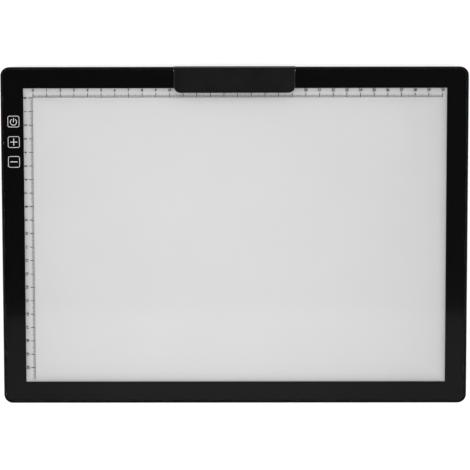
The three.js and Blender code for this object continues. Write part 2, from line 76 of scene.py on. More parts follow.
CLIP_CORNER_R = 5.0
CLIP_FRONT, CLIP_REAR, CLIP_SHEET = 105.5625, 124.875, 0.3125
PIN_Y, PIN_Z, PIN_R, PIN_OUT = 121.875, 11.5, 0.6, 0.45
EAR_R = 1.1
BARREL_R = 1.75
JAW_TOP, JAW_REAR, JAW_EDGE_R = 13.25, 124.125, 0.3
FLANGE_Z0 = 9.0625
NOSE_Z = 9.25
EAR_X = (-39.0, -12.0, 12.0, 39.0)
SPRING_X = (-25.5, 25.5)


# ---------------------------------------------------------------- node helpers


def new_material(name):
    m = bpy.data.materials.new(name)
    m.use_nodes = True
    m.node_tree.nodes.clear()
    return m, m.node_tree


def add(nt, kind, inputs=None, **props):
    n = nt.nodes.new("ShaderNode" + kind)
    for k, v in props.items():
        setattr(n, k, v)
    for k, v in (inputs or {}).items():
        s = n.inputs[k]
        if isinstance(v, bpy.types.NodeSocket):
            nt.links.new(v, s)
        else:
            s.default_value = v
    return n


def calc(nt, op, a, b=None, c=None, clamp=False):
    n = nt.nodes.new("ShaderNodeMath")
    n.operation = op
    n.use_clamp = clamp
    for i, v in enumerate((a, b, c)):
        if v is None:
            continue
        if isinstance(v, bpy.types.NodeSocket):
            nt.links.new(v, n.inputs[i])
        else:
            n.inputs[i].default_value = v
    return n.outputs[0]


def grey(v, tint=(1.0, 1.0, 1.0)):
    return (v * tint[0], v * tint[1], v * tint[2], 1.0)


def place(nt):
    """Object coordinates: a piece's own place in metres, which rides with it."""
    return add(nt, "TexCoord").outputs["Object"]


def noise(nt, at, size, detail=2.0, rough=0.5, stretch=None):
    """Noise whose blotches are about size metres across."""
    if stretch:
        at = add(nt, "Mapping", {"Vector": at, "Scale": stretch}).outputs["Vector"]
    n = add(nt, "TexNoise", {"Vector": at, "Scale": 1.0 / size, "Detail": detail, "Roughness": rough})
    return n.outputs["Fac"]


def cells(nt, at, size, feature="F1", randomness=1.0):
    n = add(nt, "TexVoronoi", {"Vector": at, "Scale": 1.0 / size, "Randomness": randomness}, feature=feature)
    return n.outputs["Distance"]


def ramp(nt, fac, *stops, smooth=False):
    """Colour ramp; stops are (position, grey value or colour)."""
    n = nt.nodes.new("ShaderNodeValToRGB")
    n.color_ramp.interpolation = "EASE" if smooth else "LINEAR"
    el = n.color_ramp.elements
    while len(el) < len(stops):
        el.new(0.5)
    for e, (p, v) in zip(el, stops):
        e.position = p
        e.color = v if isinstance(v, tuple) else (v, v, v, 1.0)
    nt.links.new(fac, n.inputs["Fac"])
    return n.outputs["Color"]


def span(nt, v, a, b, c, d, clamp=True):
    """v from a..b mapped to c..d."""
    n = add(nt, "MapRange", {"Value": v, "From Min": a, "From Max": b, "To Min": c, "To Max": d}, clamp=clamp)
    return n.outputs["Result"]


def blend_colour(nt, fac, a, b):
    n = nt.nodes.new("ShaderNodeMix")
    n.data_type = "RGBA"
    for s, v in ((n.inputs[0], fac), (n.inputs[6], a), (n.inputs[7], b)):
        if isinstance(v, bpy.types.NodeSocket):
            nt.links.new(v, s)
        else:
            s.default_value = v
    return n.outputs[2]


def bump(nt, *layers):
    """layers are (height, depth in metres)."""
    normal = None
    for h, depth in layers:
        ins = {"Height": h, "Distance": depth, "Strength": 1.0}
        if normal is not None:
            ins["Normal"] = normal
        normal = add(nt, "Bump", ins).outputs["Normal"]
    return normal


def finish_with(nt, shader):
    out = nt.nodes.new("ShaderNodeOutputMaterial")
    nt.links.new(shader, out.inputs["Surface"])


def principled(nt, **ins):
    names = {
        "color": "Base Color", "rough": "Roughness", "metal": "Metallic", "normal": "Normal",
        "coat": "Coat Weight", "coat_rough": "Coat Roughness", "sheen": "Sheen Weight",
        "sheen_rough": "Sheen Roughness", "ior": "IOR", "specular": "Specular IOR Level", "sss": "Subsurface Weight",
        "alpha": "Alpha", "transmission": "Transmission Weight",
    }
    n = add(nt, "BsdfPrincipled", {names[k]: v for k, v in ins.items()})
    finish_with(nt, n.outputs["BSDF"])
    return n


# -------------------------------------------------------------------- materials


def moulded(name, lo, hi, rough, grain, depth, tint=(1, 1, 1), specular=0.5):
    """Moulded plastic with a spark-eroded texture, faint flow variation and slightly polished high spots."""
    m, nt = new_material(name)
    at = place(nt)
    g = noise(nt, at, grain, 3.0, 0.6)
    pits = cells(nt, at, grain * 1.6, "SMOOTH_F1")
    flow = noise(nt, at, 0.045, 2.0, 0.5, (1.0, 0.35, 1.0))
    handled = noise(nt, at, 0.018, 4.0, 0.65)
    col = blend_colour(nt, span(nt, flow, 0.3, 0.7, 0.0, 1.0), grey(lo, tint), grey(hi, tint))
    r = calc(nt, "ADD", span(nt, handled, 0.3, 0.7, rough - 0.05, rough + 0.05), span(nt, g, 0.3, 0.7, -0.03, 0.03))
    principled(nt, color=col, rough=r, normal=bump(nt, (g, depth), (pits, depth * 0.7)), specular=specular)
    return m


def make_front_gloss():
    """Clear front sheet: only its surfaces show, as a sharp reflection in a faint haze with a very faint wipe pattern.

    Over the opening its back face reflects as well; over the border the print on the back takes that away.
    """
    m, nt = new_material("front_gloss_clear")
    at = place(nt)
    back = add(nt, "NewGeometry").outputs["Backfacing"]
    fres = add(nt, "Fresnel", {"IOR": 1.49}).outputs["Fac"]
    xyz = add(nt, "SeparateXYZ", {"Vector": at})
    x0, x1, y0, y1 = (v * MM for v in WINDOW)
    across = calc(nt, "LESS_THAN", calc(nt, "ABSOLUTE", calc(nt, "SUBTRACT", xyz.outputs["X"], (x0 + x1) / 2)), (x1 - x0) / 2)
    along = calc(nt, "LESS_THAN", calc(nt, "ABSOLUTE", calc(nt, "SUBTRACT", xyz.outputs["Y"], (y0 + y1) / 2 + Y0 * MM)), (y1 - y0) / 2)
    both = calc(nt, "DIVIDE", calc(nt, "MULTIPLY", fres, 2.0), calc(nt, "ADD", fres, 1.0))
    fac = calc(nt, "MULTIPLY_ADD", calc(nt, "MULTIPLY", across, along), calc(nt, "SUBTRACT", both, fres), fres)
    fac = calc(nt, "MULTIPLY", fac, calc(nt, "SUBTRACT", 1.0, back))
    wipe = noise(nt, at, 0.03, 4.0, 0.7, (0.35, 1.0, 1.0))
    waves = noise(nt, at, 0.02, 1.0, 0.4)
    normal = bump(nt, (waves, 0.000002))
    sharp = add(nt, "BsdfGlossy", {"Color": (1, 1, 1, 1), "Roughness": span(nt, wipe, 0.35, 0.75, 0.022, 0.034), "Normal": normal})
    haze = add(nt, "BsdfGlossy", {"Color": (1, 1, 1, 1), "Roughness": span(nt, wipe, 0.35, 0.75, 0.088, 0.104), "Normal": normal})
    gl = add(nt, "MixShader", {0: 0.58, 1: sharp.outputs[0], 2: haze.outputs[0]})
    tr = add(nt, "BsdfTransparent", {"Color": (1, 1, 1, 1)})
    mix = add(nt, "MixShader", {0: fac, 1: tr.outputs[0], 2: gl.outputs[0]})
    finish_with(nt, mix.outputs[0])
    return m


def make_print_black():
    m, nt = new_material("border_print_black")
    at = place(nt)
    n = noise(nt, at, 0.0006, 3.0, 0.6)
    broad = noise(nt, at, 0.06, 2.0, 0.5)
    col = blend_colour(nt, broad, grey(0.0009), grey(0.0013))
    # wetted by the sheet in front of it, so it has no shine of its own
    principled(nt, color=col, rough=span(nt, n, 0.3, 0.7, 0.55, 0.7), specular=0.0)
    return m


def make_ink(name, value, tint=(1, 1, 1)):
    """Screen-printed ink with a slightly uneven edge of cover."""
    m, nt = new_material(name)
    at = place(nt)
    n = noise(nt, at, 0.00025, 3.0, 0.6)
    col = blend_colour(nt, span(nt, n, 0.3, 0.7, 0.0, 1.0), grey(value * 0.93, tint), grey(min(1.0, value * 1.07), tint))
    principled(nt, color=col, rough=span(nt, n, 0.3, 0.7, 0.5, 0.65), specular=0.0)
    return m


def make_diffuser():
    """Milky film over the light guide. Its colour is darkened towards the edges of the opening as painted shade, for
    the light that comes back less there and for the border's shadow.
    """
    m, nt = new_material("diffuser_milk")
    at = place(nt)
    xyz = add(nt, "SeparateXYZ", {"Vector": at})
    x0, x1, y0, y1 = (v * MM for v in WINDOW)
    cx, hx = (x0 + x1) / 2, (x1 - x0) / 2
    cy, hy = (y0 + y1) / 2 + Y0 * MM, (y1 - y0) / 2
    dx = calc(nt, "SUBTRACT", hx, calc(nt, "ABSOLUTE", calc(nt, "SUBTRACT", xyz.outputs["X"], cx)))
    dy = calc(nt, "SUBTRACT", hy, calc(nt, "ABSOLUTE", calc(nt, "SUBTRACT", xyz.outputs["Y"], cy)))
    d = calc(nt, "SMOOTH_MIN", dx, dy, 0.004)
    near = span(nt, d, 0.0, 0.02, 0.0, 1.0)
    # painted shade: the colour falls to 0.7 at the opening's edge, over the last 20 mm
    painted_edge_shade = ramp(nt, near, (0.0, 0.7), (0.08, 0.81), (0.145, 0.871), (0.255, 0.93), (0.36, 0.961), (0.5, 0.975), (0.7, 0.991), (1.0, 1.0))
    # painted shade: the slower fall towards each side, by the distance from that side, deepest on the right
    off_left = calc(nt, "ADD", calc(nt, "SUBTRACT", xyz.outputs["X"], cx), hx)
    off_near = calc(nt, "ADD", calc(nt, "SUBTRACT", xyz.outputs["Y"], cy), hy)
    left = ramp(nt, span(nt, off_left, 0.0, 0.1, 0.0, 1.0), (0.0, 0.947), (0.2, 0.951), (0.34, 0.965), (0.56, 0.979), (0.78, 0.991), (1.0, 1.0))
    right = ramp(
        nt, span(nt, calc(nt, "SUBTRACT", 2 * hx, off_left), 0.0, 0.17, 0.0, 1.0),
        (0.0, 0.903), (0.118, 0.907), (0.212, 0.936), (0.341, 0.955), (0.541, 0.9735), (0.733, 0.989), (1.0, 1.0),
    )
    low = ramp(
        nt, span(nt, off_near, 0.0, 0.12, 0.0, 1.0),
        (0.0, 0.956), (0.167, 0.959), (0.247, 0.973), (0.35, 0.982), (0.5, 0.982), (0.64, 0.988), (0.79, 0.9945), (1.0, 1.0),
    )
    # painted shade of the ruler's print: a dip about 8 to 10 mm in from the far edge
    far = ramp(
        nt, span(nt, calc(nt, "SUBTRACT", 2 * hy, off_near), 0.0, 0.04, 0.0, 1.0),
        (0.0, 0.984), (0.16, 0.98), (0.21, 0.955), (0.25, 0.965), (0.3, 0.977), (0.37, 0.984), (0.5, 0.988), (1.0, 1.0),
    )
    painted_side_shade = calc(nt, "MULTIPLY", calc(nt, "MULTIPLY", left, right), calc(nt, "MULTIPLY", low, far))
    cloud = span(nt, noise(nt, at, 0.05, 2.0, 0.5), 0.3, 0.7, 0.992, 1.008)
    fine = span(nt, noise(nt, at, 0.0004, 2.0, 0.5), 0.3, 0.7, 0.985, 1.015)
    f = calc(nt, "MULTIPLY", calc(nt, "MULTIPLY", painted_edge_shade, painted_side_shade), calc(nt, "MULTIPLY", cloud, fine))
    col = add(nt, "CombineXYZ", {"X": calc(nt, "MULTIPLY", f, 0.7125), "Y": calc(nt, "MULTIPLY", f, 0.7113), "Z": calc(nt, "MULTIPLY", f, 0.7134)})
    n = noise(nt, at, 0.0003, 2.0, 0.6)
    principled(nt, color=col.outputs[0], rough=0.82, normal=bump(nt, (n, 0.000012)), specular=0.25)
    return m


def make_rubber(name, value=0.016):
    m, nt = new_material(name)
    at = place(nt)
    g = noise(nt, at, 0.00035, 4.0, 0.7)
    dust = noise(nt, at, 0.004, 4.0, 0.7)
    col = blend_colour(nt, span(nt, dust, 0.45, 0.8, 0.0, 1.0), grey(value), grey(value * 1.9, (1.0, 0.98, 0.95)))
    principled(nt, color=col, rough=span(nt, dust, 0.3, 0.7, 0.72, 0.88), normal=bump(nt, (g, 0.00003)), specular=0.35)
    return m


def metal(name, colour, rough, brushed=None, grain=0.0004, spots=None):
    m, nt = new_material(name)
    at = place(nt)
    g = noise(nt, at, grain, 3.0, 0.6, brushed)
    broad = noise(nt, at, 0.006, 3.0, 0.6)
    dark = tuple(c * 0.8 for c in colour[:3]) + (1.0,)
    col = blend_colour(nt, span(nt, broad, 0.3, 0.7, 0.0, 1.0), dark, colour)
    if spots:
        col = blend_colour(nt, span(nt, noise(nt, at, 0.0012, 4.0, 0.7), 0.62, 0.72, 0.0, 1.0), col, spots)
    r = calc(nt, "ADD", span(nt, g, 0.3, 0.7, rough - 0.06, rough + 0.08), span(nt, broad, 0.3, 0.7, -0.03, 0.03))
    principled(nt, color=col, metal=1.0, rough=r, normal=bump(nt, (g, 0.000006)))
    return m


def make_painted_steel():
    """Thin spring sheet with a baked black coat: fine orange peel."""
    m, nt = new_material("clip_sheet_black")
    at = place(nt)
    peel = noise(nt, at, 0.0011, 2.0, 0.5)
    fine = noise(nt, at, 0.0002, 3.0, 0.6)
    broad = noise(nt, at, 0.02, 3.0, 0.6)
    col = blend_colour(nt, broad, grey(0.008), grey(0.013))
    principled(nt, color=col, rough=span(nt, broad, 0.3, 0.7, 0.3, 0.4), normal=bump(nt, (peel, 0.00001), (fine, 0.000003)), specular=0.5)
    return m


def make_felt():
    m, nt = new_material("felt_black")
    at = place(nt)
    fibre = noise(nt, at, 0.00035, 6.0, 0.8, (1.0, 3.0, 1.0))
    cross = noise(nt, at, 0.0003, 6.0, 0.8, (3.0, 1.0, 1.0))
    f = calc(nt, "MAXIMUM", fibre, cross)
    # the colour is darker where the bump is low, between the fibres: painted shade there
    col = blend_colour(nt, span(nt, f, 0.45, 0.75, 0.0, 1.0), grey(0.012), grey(0.045))
    principled(nt, color=col, rough=0.95, normal=bump(nt, (f, 0.00012)), sheen=0.35, sheen_rough=0.5, specular=0.2)
    return m


def make_foam(name, value=0.03):
    m, nt = new_material(name)
    at = place(nt)
    pores = cells(nt, at, 0.0005)
    # the colour is darker in the pores, where the bump dents the surface: painted shade in the pores
    col = blend_colour(nt, span(nt, pores, 0.0, 0.7, 0.0, 1.0), grey(value * 0.5), grey(value * 1.3))
    principled(nt, color=col, rough=0.95, normal=bump(nt, (pores, 0.0001)), specular=0.2)
    return m


def make_film(name, value):
    m, nt = new_material(name)
    at = place(nt)
    n = noise(nt, at, 0.0008, 3.0, 0.6)
    b = noise(nt, at, 0.05, 2.0, 0.5)
    col = blend_colour(nt, b, grey(value * 0.96), grey(value))
    principled(nt, color=col, rough=span(nt, n, 0.3, 0.7, 0.35, 0.5), normal=bump(nt, (n, 0.000008)), specular=0.5)
    return m


def make_guide():
    """Clear acrylic plate whose underside carries rows of tiny etched dots."""
    m, nt = new_material("guide_acrylic_dots")
    at = place(nt)
    dots = cells(nt, at, 0.0016, randomness=0.0)
    spot = span(nt, dots, 0.2, 0.26, 1.0, 0.0)
    back = add(nt, "NewGeometry").outputs["Backfacing"]
    fres = add(nt, "Fresnel", {"IOR": 1.49}).outputs["Fac"]
    fac = calc(nt, "MULTIPLY", fres, calc(nt, "SUBTRACT", 1.0, back))
    gl = add(nt, "BsdfGlossy", {"Color": (1, 1, 1, 1), "Roughness": 0.04})
    tr = add(nt, "BsdfTransparent", {"Color": (0.97, 0.985, 0.98, 1)})
    clear = add(nt, "MixShader", {0: fac, 1: tr.outputs[0], 2: gl.outputs[0]})
    white = add(nt, "BsdfDiffuse", {"Color": (0.8, 0.82, 0.81, 1)})
    mix = add(nt, "MixShader", {0: calc(nt, "MULTIPLY", spot, 0.5), 1: clear.outputs[0], 2: white.outputs[0]})
    finish_with(nt, mix.outputs[0])
    return m


def make_board():
    """Green solder mask over tracks, with bare copper pads showing lighter."""
    m, nt = new_material("board_green_mask")
    at = place(nt)
    tracks = add(nt, "TexBrick", {"Vector": at, "Scale": 420.0, "Mortar Size": 0.09, "Mortar Smooth": 0.2, "Brick Width": 1.9, "Row Height": 0.5}, offset=0.37)
    t = tracks.outputs["Fac"]
    col = blend_colour(nt, t, (0.008, 0.075, 0.032, 1), (0.02, 0.16, 0.07, 1))
    pads = span(nt, cells(nt, at, 0.0024, randomness=0.7), 0.17, 0.2, 1.0, 0.0)
    col = blend_colour(nt, pads, col, (0.6, 0.5, 0.3, 1))
    h = calc(nt, "ADD", t, pads)
    principled(nt, color=col, rough=span(nt, noise(nt, at, 0.002), 0.3, 0.7, 0.28, 0.38), metal=calc(nt, "MULTIPLY", pads, 0.9), normal=bump(nt, (h, 0.00002)), specular=0.5)
    return m


def make_led_strip():
    """White board strip; the lamp bodies in front of it have yellow phosphor faces."""
    m, nt = new_material("led_strip_white")
    at = place(nt)
    xyz = add(nt, "SeparateXYZ", {"Vector": at})
    y_face = (-111.5 + Y0) * MM
    body = calc(nt, "GREATER_THAN", xyz.outputs["Y"], y_face + 0.00001)
    u = calc(nt, "ABSOLUTE", calc(nt, "SUBTRACT", calc(nt, "FRACT", calc(nt, "DIVIDE", xyz.outputs["X"], 0.005125)), 0.5))
    w = calc(nt, "ABSOLUTE", calc(nt, "SUBTRACT", xyz.outputs["Z"], 0.00525))
    phos = calc(nt, "MULTIPLY", calc(nt, "LESS_THAN", calc(nt, "SUBTRACT", 0.5, u), 0.26), calc(nt, "LESS_THAN", w, 0.0008))
    phos = calc(nt, "MULTIPLY", phos, calc(nt, "GREATER_THAN", xyz.outputs["Y"], y_face + 0.0007))
    base = blend_colour(nt, body, (0.72, 0.73, 0.7, 1), (0.8, 0.8, 0.78, 1))
    n = noise(nt, at, 0.0006, 3.0, 0.6)
    col = blend_colour(nt, phos, base, blend_colour(nt, n, (0.75, 0.6, 0.08, 1), (0.85, 0.72, 0.15, 1)))
    principled(nt, color=col, rough=span(nt, n, 0.3, 0.7, 0.35, 0.5), normal=bump(nt, (n, 0.00001)), specular=0.5)
    return m


def make_chip():
    m, nt = new_material("chip_epoxy")
    at = place(nt)
    xyz = add(nt, "SeparateXYZ", {"Vector": at})
    g = noise(nt, at, 0.00012, 3.0, 0.6)
    legs = calc(nt, "LESS_THAN", xyz.outputs["Z"], 0.005605)
    col = blend_colour(nt, legs, blend_colour(nt, g, grey(0.012), grey(0.022)), (0.55, 0.55, 0.53, 1))
    principled(nt, color=col, rough=span(nt, g, 0.3, 0.7, 0.5, 0.6), normal=bump(nt, (g, 0.00001)), specular=0.4)
    return m


def make_ceramic():
    m, nt = new_material("capacitor_ceramic")
    at = place(nt)
    xyz = add(nt, "SeparateXYZ", {"Vector": at})
    end = calc(nt, "GREATER_THAN", calc(nt, "ABSOLUTE", calc(nt, "SUBTRACT", xyz.outputs["Y"], (91.75 + Y0) * MM)), 0.0010)
    g = noise(nt, at, 0.0003, 3.0, 0.6)
    body = blend_colour(nt, g, (0.32, 0.22, 0.12, 1), (0.42, 0.3, 0.17, 1))
    col = blend_colour(nt, end, body, (0.6, 0.6, 0.58, 1))
    principled(nt, color=col, metal=end, rough=span(nt, g, 0.3, 0.7, 0.35, 0.5), normal=bump(nt, (g, 0.00001)))
    return m


def make_plastic(name, colour, rough=0.45, grain=0.0005):
    m, nt = new_material(name)
    at = place(nt)
    g = noise(nt, at, grain, 3.0, 0.6)
    b = noise(nt, at, 0.01, 2.0, 0.5)
    dark = tuple(c * 0.88 for c in colour[:3]) + (1.0,)
    principled(nt, color=blend_colour(nt, b, dark, colour), rough=span(nt, g, 0.3, 0.7, rough - 0.05, rough + 0.07), normal=bump(nt, (g, 0.000008)), specular=0.5)
    return m


MAT = {
    "frame": moulded("frame_black_satin", 0.0022, 0.0030, 0.30, 0.00022, 0.000005, specular=0.2),
    "cover": moulded("cover_black_texture", 0.0085, 0.0115, 0.62, 0.00042, 0.000028),
    "clip": moulded("clip_black_satin", 0.0036, 0.0046, 0.30, 0.00018, 0.000005, specular=0.35),
    "gloss": make_front_gloss(),
    "print": make_print_black(),
    "symbol": make_ink("symbol_ink_white", 0.80),
    "ruler": make_ink("ruler_ink_black", 0.012),
    "diffuser": make_diffuser(),
    "foot": make_rubber("foot_rubber_black"),
    "grip": make_rubber("grip_rubber_black", 0.020),
    "screw": metal("screw_black_zinc", (0.10, 0.10, 0.105, 1), 0.34, spots=(0.28, 0.28, 0.28, 1)),
    "steel": metal("steel_bright", (0.42, 0.42, 0.425, 1), 0.20, (1.0, 6.0, 6.0)),
    "shell": metal("socket_nickel", (0.66, 0.65, 0.62, 1), 0.25, (6.0, 1.0, 1.0)),
    "spring": metal("spring_wire", (0.55, 0.52, 0.46, 1), 0.3),
    "touch_spring": metal("touch_spring_gilt", (0.75, 0.62, 0.36, 1), 0.25),
    "alu": metal("heat_spreader_mill", (0.72, 0.73, 0.74, 1), 0.36, (0.2, 4.0, 4.0)),
    "sheet_steel": make_painted_steel(),
    "felt": make_felt(),
    "foam": make_foam("guide_foam_grey", 0.035),
    "tape": make_plastic("tape_black", (0.02, 0.02, 0.021, 1), 0.7, 0.0004),
    "guide": make_guide(),
    "reflector": make_film("reflector_white", 0.86),
    "board": make_board(),
    "led": make_led_strip(),
    "chip": make_chip(),
    "ceramic": make_ceramic(),
    "connector": make_plastic("connector_ivory", (0.72, 0.69, 0.6, 1)),
    "tongue": make_plastic("socket_tongue_black", (0.012, 0.012, 0.012, 1), 0.5, 0.0003),
    "contacts": metal("socket_contacts_gilt", (0.85, 0.66, 0.3, 1), 0.2),
    "red": make_plastic("lead_red_sleeve", (0.42, 0.015, 0.012, 1), 0.42),
    "black": make_plastic("lead_black_sleeve", (0.014, 0.014, 0.014, 1), 0.42),
}


# ----------------------------------------------------------------- mesh helpers


def to_object(name, bm, mat, body, sharp=32.0, replaces=()):
    bmesh.ops.remove_doubles(bm, verts=bm.verts, dist=1e-8)
    bmesh.ops.recalc_face_normals(bm, faces=bm.faces)
    me = bpy.data.meshes.new(name)
    bm.to_mesh(me)
    bm.free()
    me.shade_smooth()
    me.set_sharp_from_angle(angle=math.radians(sharp))
    me.materials.append(mat)
    o = bpy.data.objects.new(name, me)
    scene.collection.objects.link(o)
    if body:
        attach(o, body)
    if replaces:
        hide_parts(*replaces)
    return o


def weighted(o):
    """Keeps big flat faces flat next to small rounded ones."""
    w = o.modifiers.new("flat", "WEIGHTED_NORMAL")
    w.keep_sharp = True
    w.weight = 80
    return o


def rrect(x0, x1, y0, y1, r, n=12):
    """Points round a rectangle with rounded corners, anticlockwise, mm; r is one radius or four, from near-right round to near-left."""
    rs = r if isinstance(r, (tuple, list)) else (r,) * 4
    pts = []
    for (sx, sy, a0), q in zip(((1, -1, -90), (1, 1, 0), (-1, 1, 90), (-1, -1, 180)), rs):
        cx = (x1 - q) if sx > 0 else (x0 + q)
        cy = (y1 - q) if sy > 0 else (y0 + q)
        for i in range(n + 1):
            a = math.radians(a0 + 90.0 * i / n)
            pts.append((cx + q * math.cos(a), cy + q * math.sin(a)))
    return pts


def pad_ring(inset, n=12):
    """Outline of the pad moved in by inset."""
    r = max(PAD_R - inset, 0.3)
    return rrect(-PAD_X + inset, PAD_X - inset, -PAD_Y + inset, PAD_Y - inset, r, n)


def loft(bm, rings, closed=False, cap=True):
    """rings is a list of (points, z). closed joins the last ring to the first; cap closes both ends."""
    rows = [[bm.verts.new((x * MM, (y + Y0) * MM, z * MM)) for x, y in pts] for pts, z in rings]
    k = len(rows)
    for i in range(k if closed else k - 1):
        a, b = rows[i], rows[(i + 1) % k]
        m = len(a)
        for j in range(m):
            bm.faces.new((a[j], a[(j + 1) % m], b[(j + 1) % m], b[j]))
    if cap and not closed:
        bm.faces.new(list(reversed(rows[0])))
        bm.faces.new(rows[-1])
    return rows


def arc(cx, cy, r, a0, a1, n):
    return [(cx + r * math.cos(math.radians(a0 + (a1 - a0) * i / n)), cy + r * math.sin(math.radians(a0 + (a1 - a0) * i / n))) for i in range(n + 1)]


def lathe(bm, x, y, profile, sides=48):
    """profile of (radius, z); ends on the axis are closed to a point."""
    rows = []
    for r, z in profile:
        if r < 1e-6:
            rows.append([bm.verts.new((x * MM, (y + Y0) * MM, z * MM))])
        else:
            rows.append([bm.verts.new(((x + r * math.cos(2 * math.pi * i / sides)) * MM, (y + Y0 + r * math.sin(2 * math.pi * i / sides)) * MM, z * MM)) for i in range(sides)])
    for a, b in zip(rows, rows[1:]):
        if len(a) == 1 and len(b) == 1:
            continue
        for i in range(sides):
            j = (i + 1) % sides
            if len(a) == 1:
                bm.faces.new((a[0], b[j], b[i]))
            elif len(b) == 1:
                bm.faces.new((a[i], a[j], b[0]))
            else:
                bm.faces.new((a[i], a[j], b[j], b[i]))
    return rows


def lathe_x(bm, profile, y, z, sides=40):
    """Body of revolution about a line along X at (y, z); profile of (x, radius), ends on the axis or closed flat."""
    rows = []
    for px, r in profile:
        if r < 1e-6:
            rows.append([bm.verts.new((px * MM, (y + Y0) * MM, z * MM))])
        else:
            rows.append([bm.verts.new((px * MM, (y + Y0 + r * math.cos(2 * math.pi * i / sides)) * MM, (z + r * math.sin(2 * math.pi * i / sides)) * MM)) for i in range(sides)])
    for a, b in zip(rows, rows[1:]):
        for i in range(sides):
            j = (i + 1) % sides
            if len(a) == 1:
                bm.faces.new((a[0], b[i], b[j]))
            elif len(b) == 1:
                bm.faces.new((a[j], a[i], b[0]))
            else:
                bm.faces.new((a[j], a[i], b[i], b[j]))
    if len(rows[0]) > 1:
        bm.faces.new(rows[0])
    if len(rows[-1]) > 1:
        bm.faces.new(list(reversed(rows[-1])))


def block(bm, x0, x1, y0, y1, z0, z1):
    v = [bm.verts.new((x * MM, (y + Y0) * MM, z * MM)) for z in (z0, z1) for x, y in ((x0, y0), (x1, y0), (x1, y1), (x0, y1))]
    for f in ((3, 2, 1, 0), (4, 5, 6, 7), (0, 1, 5, 4), (1, 2, 6, 5), (2, 3, 7, 6), (3, 0, 4, 7)):
        bm.faces.new([v[i] for i in f])
    return v


def prism_x(bm, pts, x0, x1):
    """pts are (y, z); drawn out along X."""
    a = [bm.verts.new((x0 * MM, (y + Y0) * MM, z * MM)) for y, z in pts]
    b = [bm.verts.new((x1 * MM, (y + Y0) * MM, z * MM)) for y, z in pts]
    m = len(pts)
    for j in range(m):
        bm.faces.new((a[j], a[(j + 1) % m], b[(j + 1) % m], b[j]))
    bm.faces.new(list(reversed(a)))
    bm.faces.new(b)


def scratch(make):
    """A helper solid for cutting or joining."""
    bm = bmesh.new()
    make(bm)
    bmesh.ops.recalc_face_normals(bm, faces=bm.faces)
    me = bpy.data.meshes.new("scratch")
    bm.to_mesh(me)
    bm.free()
    o = bpy.data.objects.new("scratch", me)
    scene.collection.objects.link(o)
    return o


def combine(first, *steps):
    """steps are ("DIFFERENCE"/"UNION"/"INTERSECT", make). Returns a bmesh of the result."""
    base = scratch(first)
    tools = []
    for op, make in steps:
        t = scratch(make)
        tools.append(t)
        mod = base.modifiers.new("b", "BOOLEAN")
        mod.operation = op
        mod.solver = "EXACT"
        mod.use_hole_tolerant = False
        mod.object = t
    dg = bpy.context.evaluated_depsgraph_get()
    me = bpy.data.meshes.new_from_object(base.evaluated_get(dg))
    bm = bmesh.new()
    bm.from_mesh(me)
    for o in (base, *tools):
        old = o.data
        bpy.data.objects.remove(o)
        bpy.data.meshes.remove(old)
    bpy.data.meshes.remove(me)
    bmesh.ops.remove_doubles(bm, verts=bm.verts, dist=2e-7)
    bmesh.ops.dissolve_degenerate(bm, edges=bm.edges, dist=1e-7)
    return bm


def soften(bm, width, angle=35.0, segments=2, where=None):
    """Rounds the sharp edges."""
    edges = [
        e for e in bm.edges
        if len(e.link_faces) == 2 and e.calc_face_angle(0.0) > math.radians(angle) and (where is None or where(e))
    ]
    bmesh.ops.bevel(bm, geom=edges, offset=width * MM, offset_type="OFFSET", segments=segments, profile=0.5, affect="EDGES", clamp_overlap=True)
    return bm


# ----------------------------------------------------------------- frame shell


def frame_ring(bm):
    prof = []
    prof += [(EDGE_R + x, z) for x, z in [(EDGE_R * math.cos(math.radians(a)), FOOT_H + EDGE_R + EDGE_R * math.sin(math.radians(a))) for a in (-90, -112.5, -135, -157.5, -180)]]
    prof += [(EDGE_R + x, z) for x, z in [(EDGE_R * math.cos(math.radians(a)), LIP_TOP - EDGE_R + EDGE_R * math.sin(math.radians(a))) for a in (180, 165, 150, 135, 120, 105, 90)]]
    q = 0.15
    prof += [(WALL - q + q * math.sin(math.radians(a)), LIP_TOP - q + q * math.cos(math.radians(a))) for a in (0, 30, 60, 90)]
    prof += [(WALL, LEDGE_TOP), (WALL + 4.0 - 0.1, LEDGE_TOP), (WALL + 4.0, LEDGE_TOP - 0.1), (WALL + 4.0, LEDGE_BOTTOM), (WALL, LEDGE_BOTTOM), (WALL, FOOT_H + 0.1), (WALL - 0.1, FOOT_H)]
    loft(bm, [(pad_ring(d), z) for d, z in prof], closed=True)


def bosses(bm):
    for _, x, y in SCREWS:
        lathe(bm, x, y, [(0, COVER_TOP), (2.5, COVER_TOP), (2.5, LEDGE_TOP - 0.01), (0, LEDGE_TOP - 0.01)], 40)


def webs(bm):
    for _, x, y in SCREWS:
        s = 1 if y > 0 else -1
        a, b = sorted((s * 120.2, s * 123.5))
        block(bm, x - 0.6, x + 0.6, a, b, COVER_TOP, LEDGE_BOTTOM + 0.5)


def boss_holes(bm):
    for _, x, y in SCREWS:
        lathe(bm, x, y, [(0, COVER_TOP - 1), (1.15, COVER_TOP - 1), (1.15, COVER_TOP + 0.01), (1.0, COVER_TOP + 0.2), (1.0, 6.7), (0, 6.9)], 32)


def socket_window(bm):
    """Rounded mouth with a small lead-in."""
    w, z0, z1 = 4.1, 4.75, 7.75

    def ring(grow, r):
        return rrect(SOCKET_Y - w - grow, SOCKET_Y + w + grow, z0 - grow, z1 + grow, r + grow, 6)

    rows = []
    for x, grow in ((-PAD_X - 1.0, 0.3), (-PAD_X, 0.3), (-PAD_X + 0.3, 0.0), (-PAD_X + 3.0, 0.0)):
        rows.append([bm.verts.new((x * MM, (y + Y0) * MM, z * MM)) for y, z in ring(grow, 0.8)])
    for a, b in zip(rows, rows[1:]):
        m = len(a)
        for j in range(m):
            bm.faces.new((a[j], a[(j + 1) % m], b[(j + 1) % m], b[j]))
    bm.faces.new(rows[0])
    bm.faces.new(list(reversed(rows[-1])))


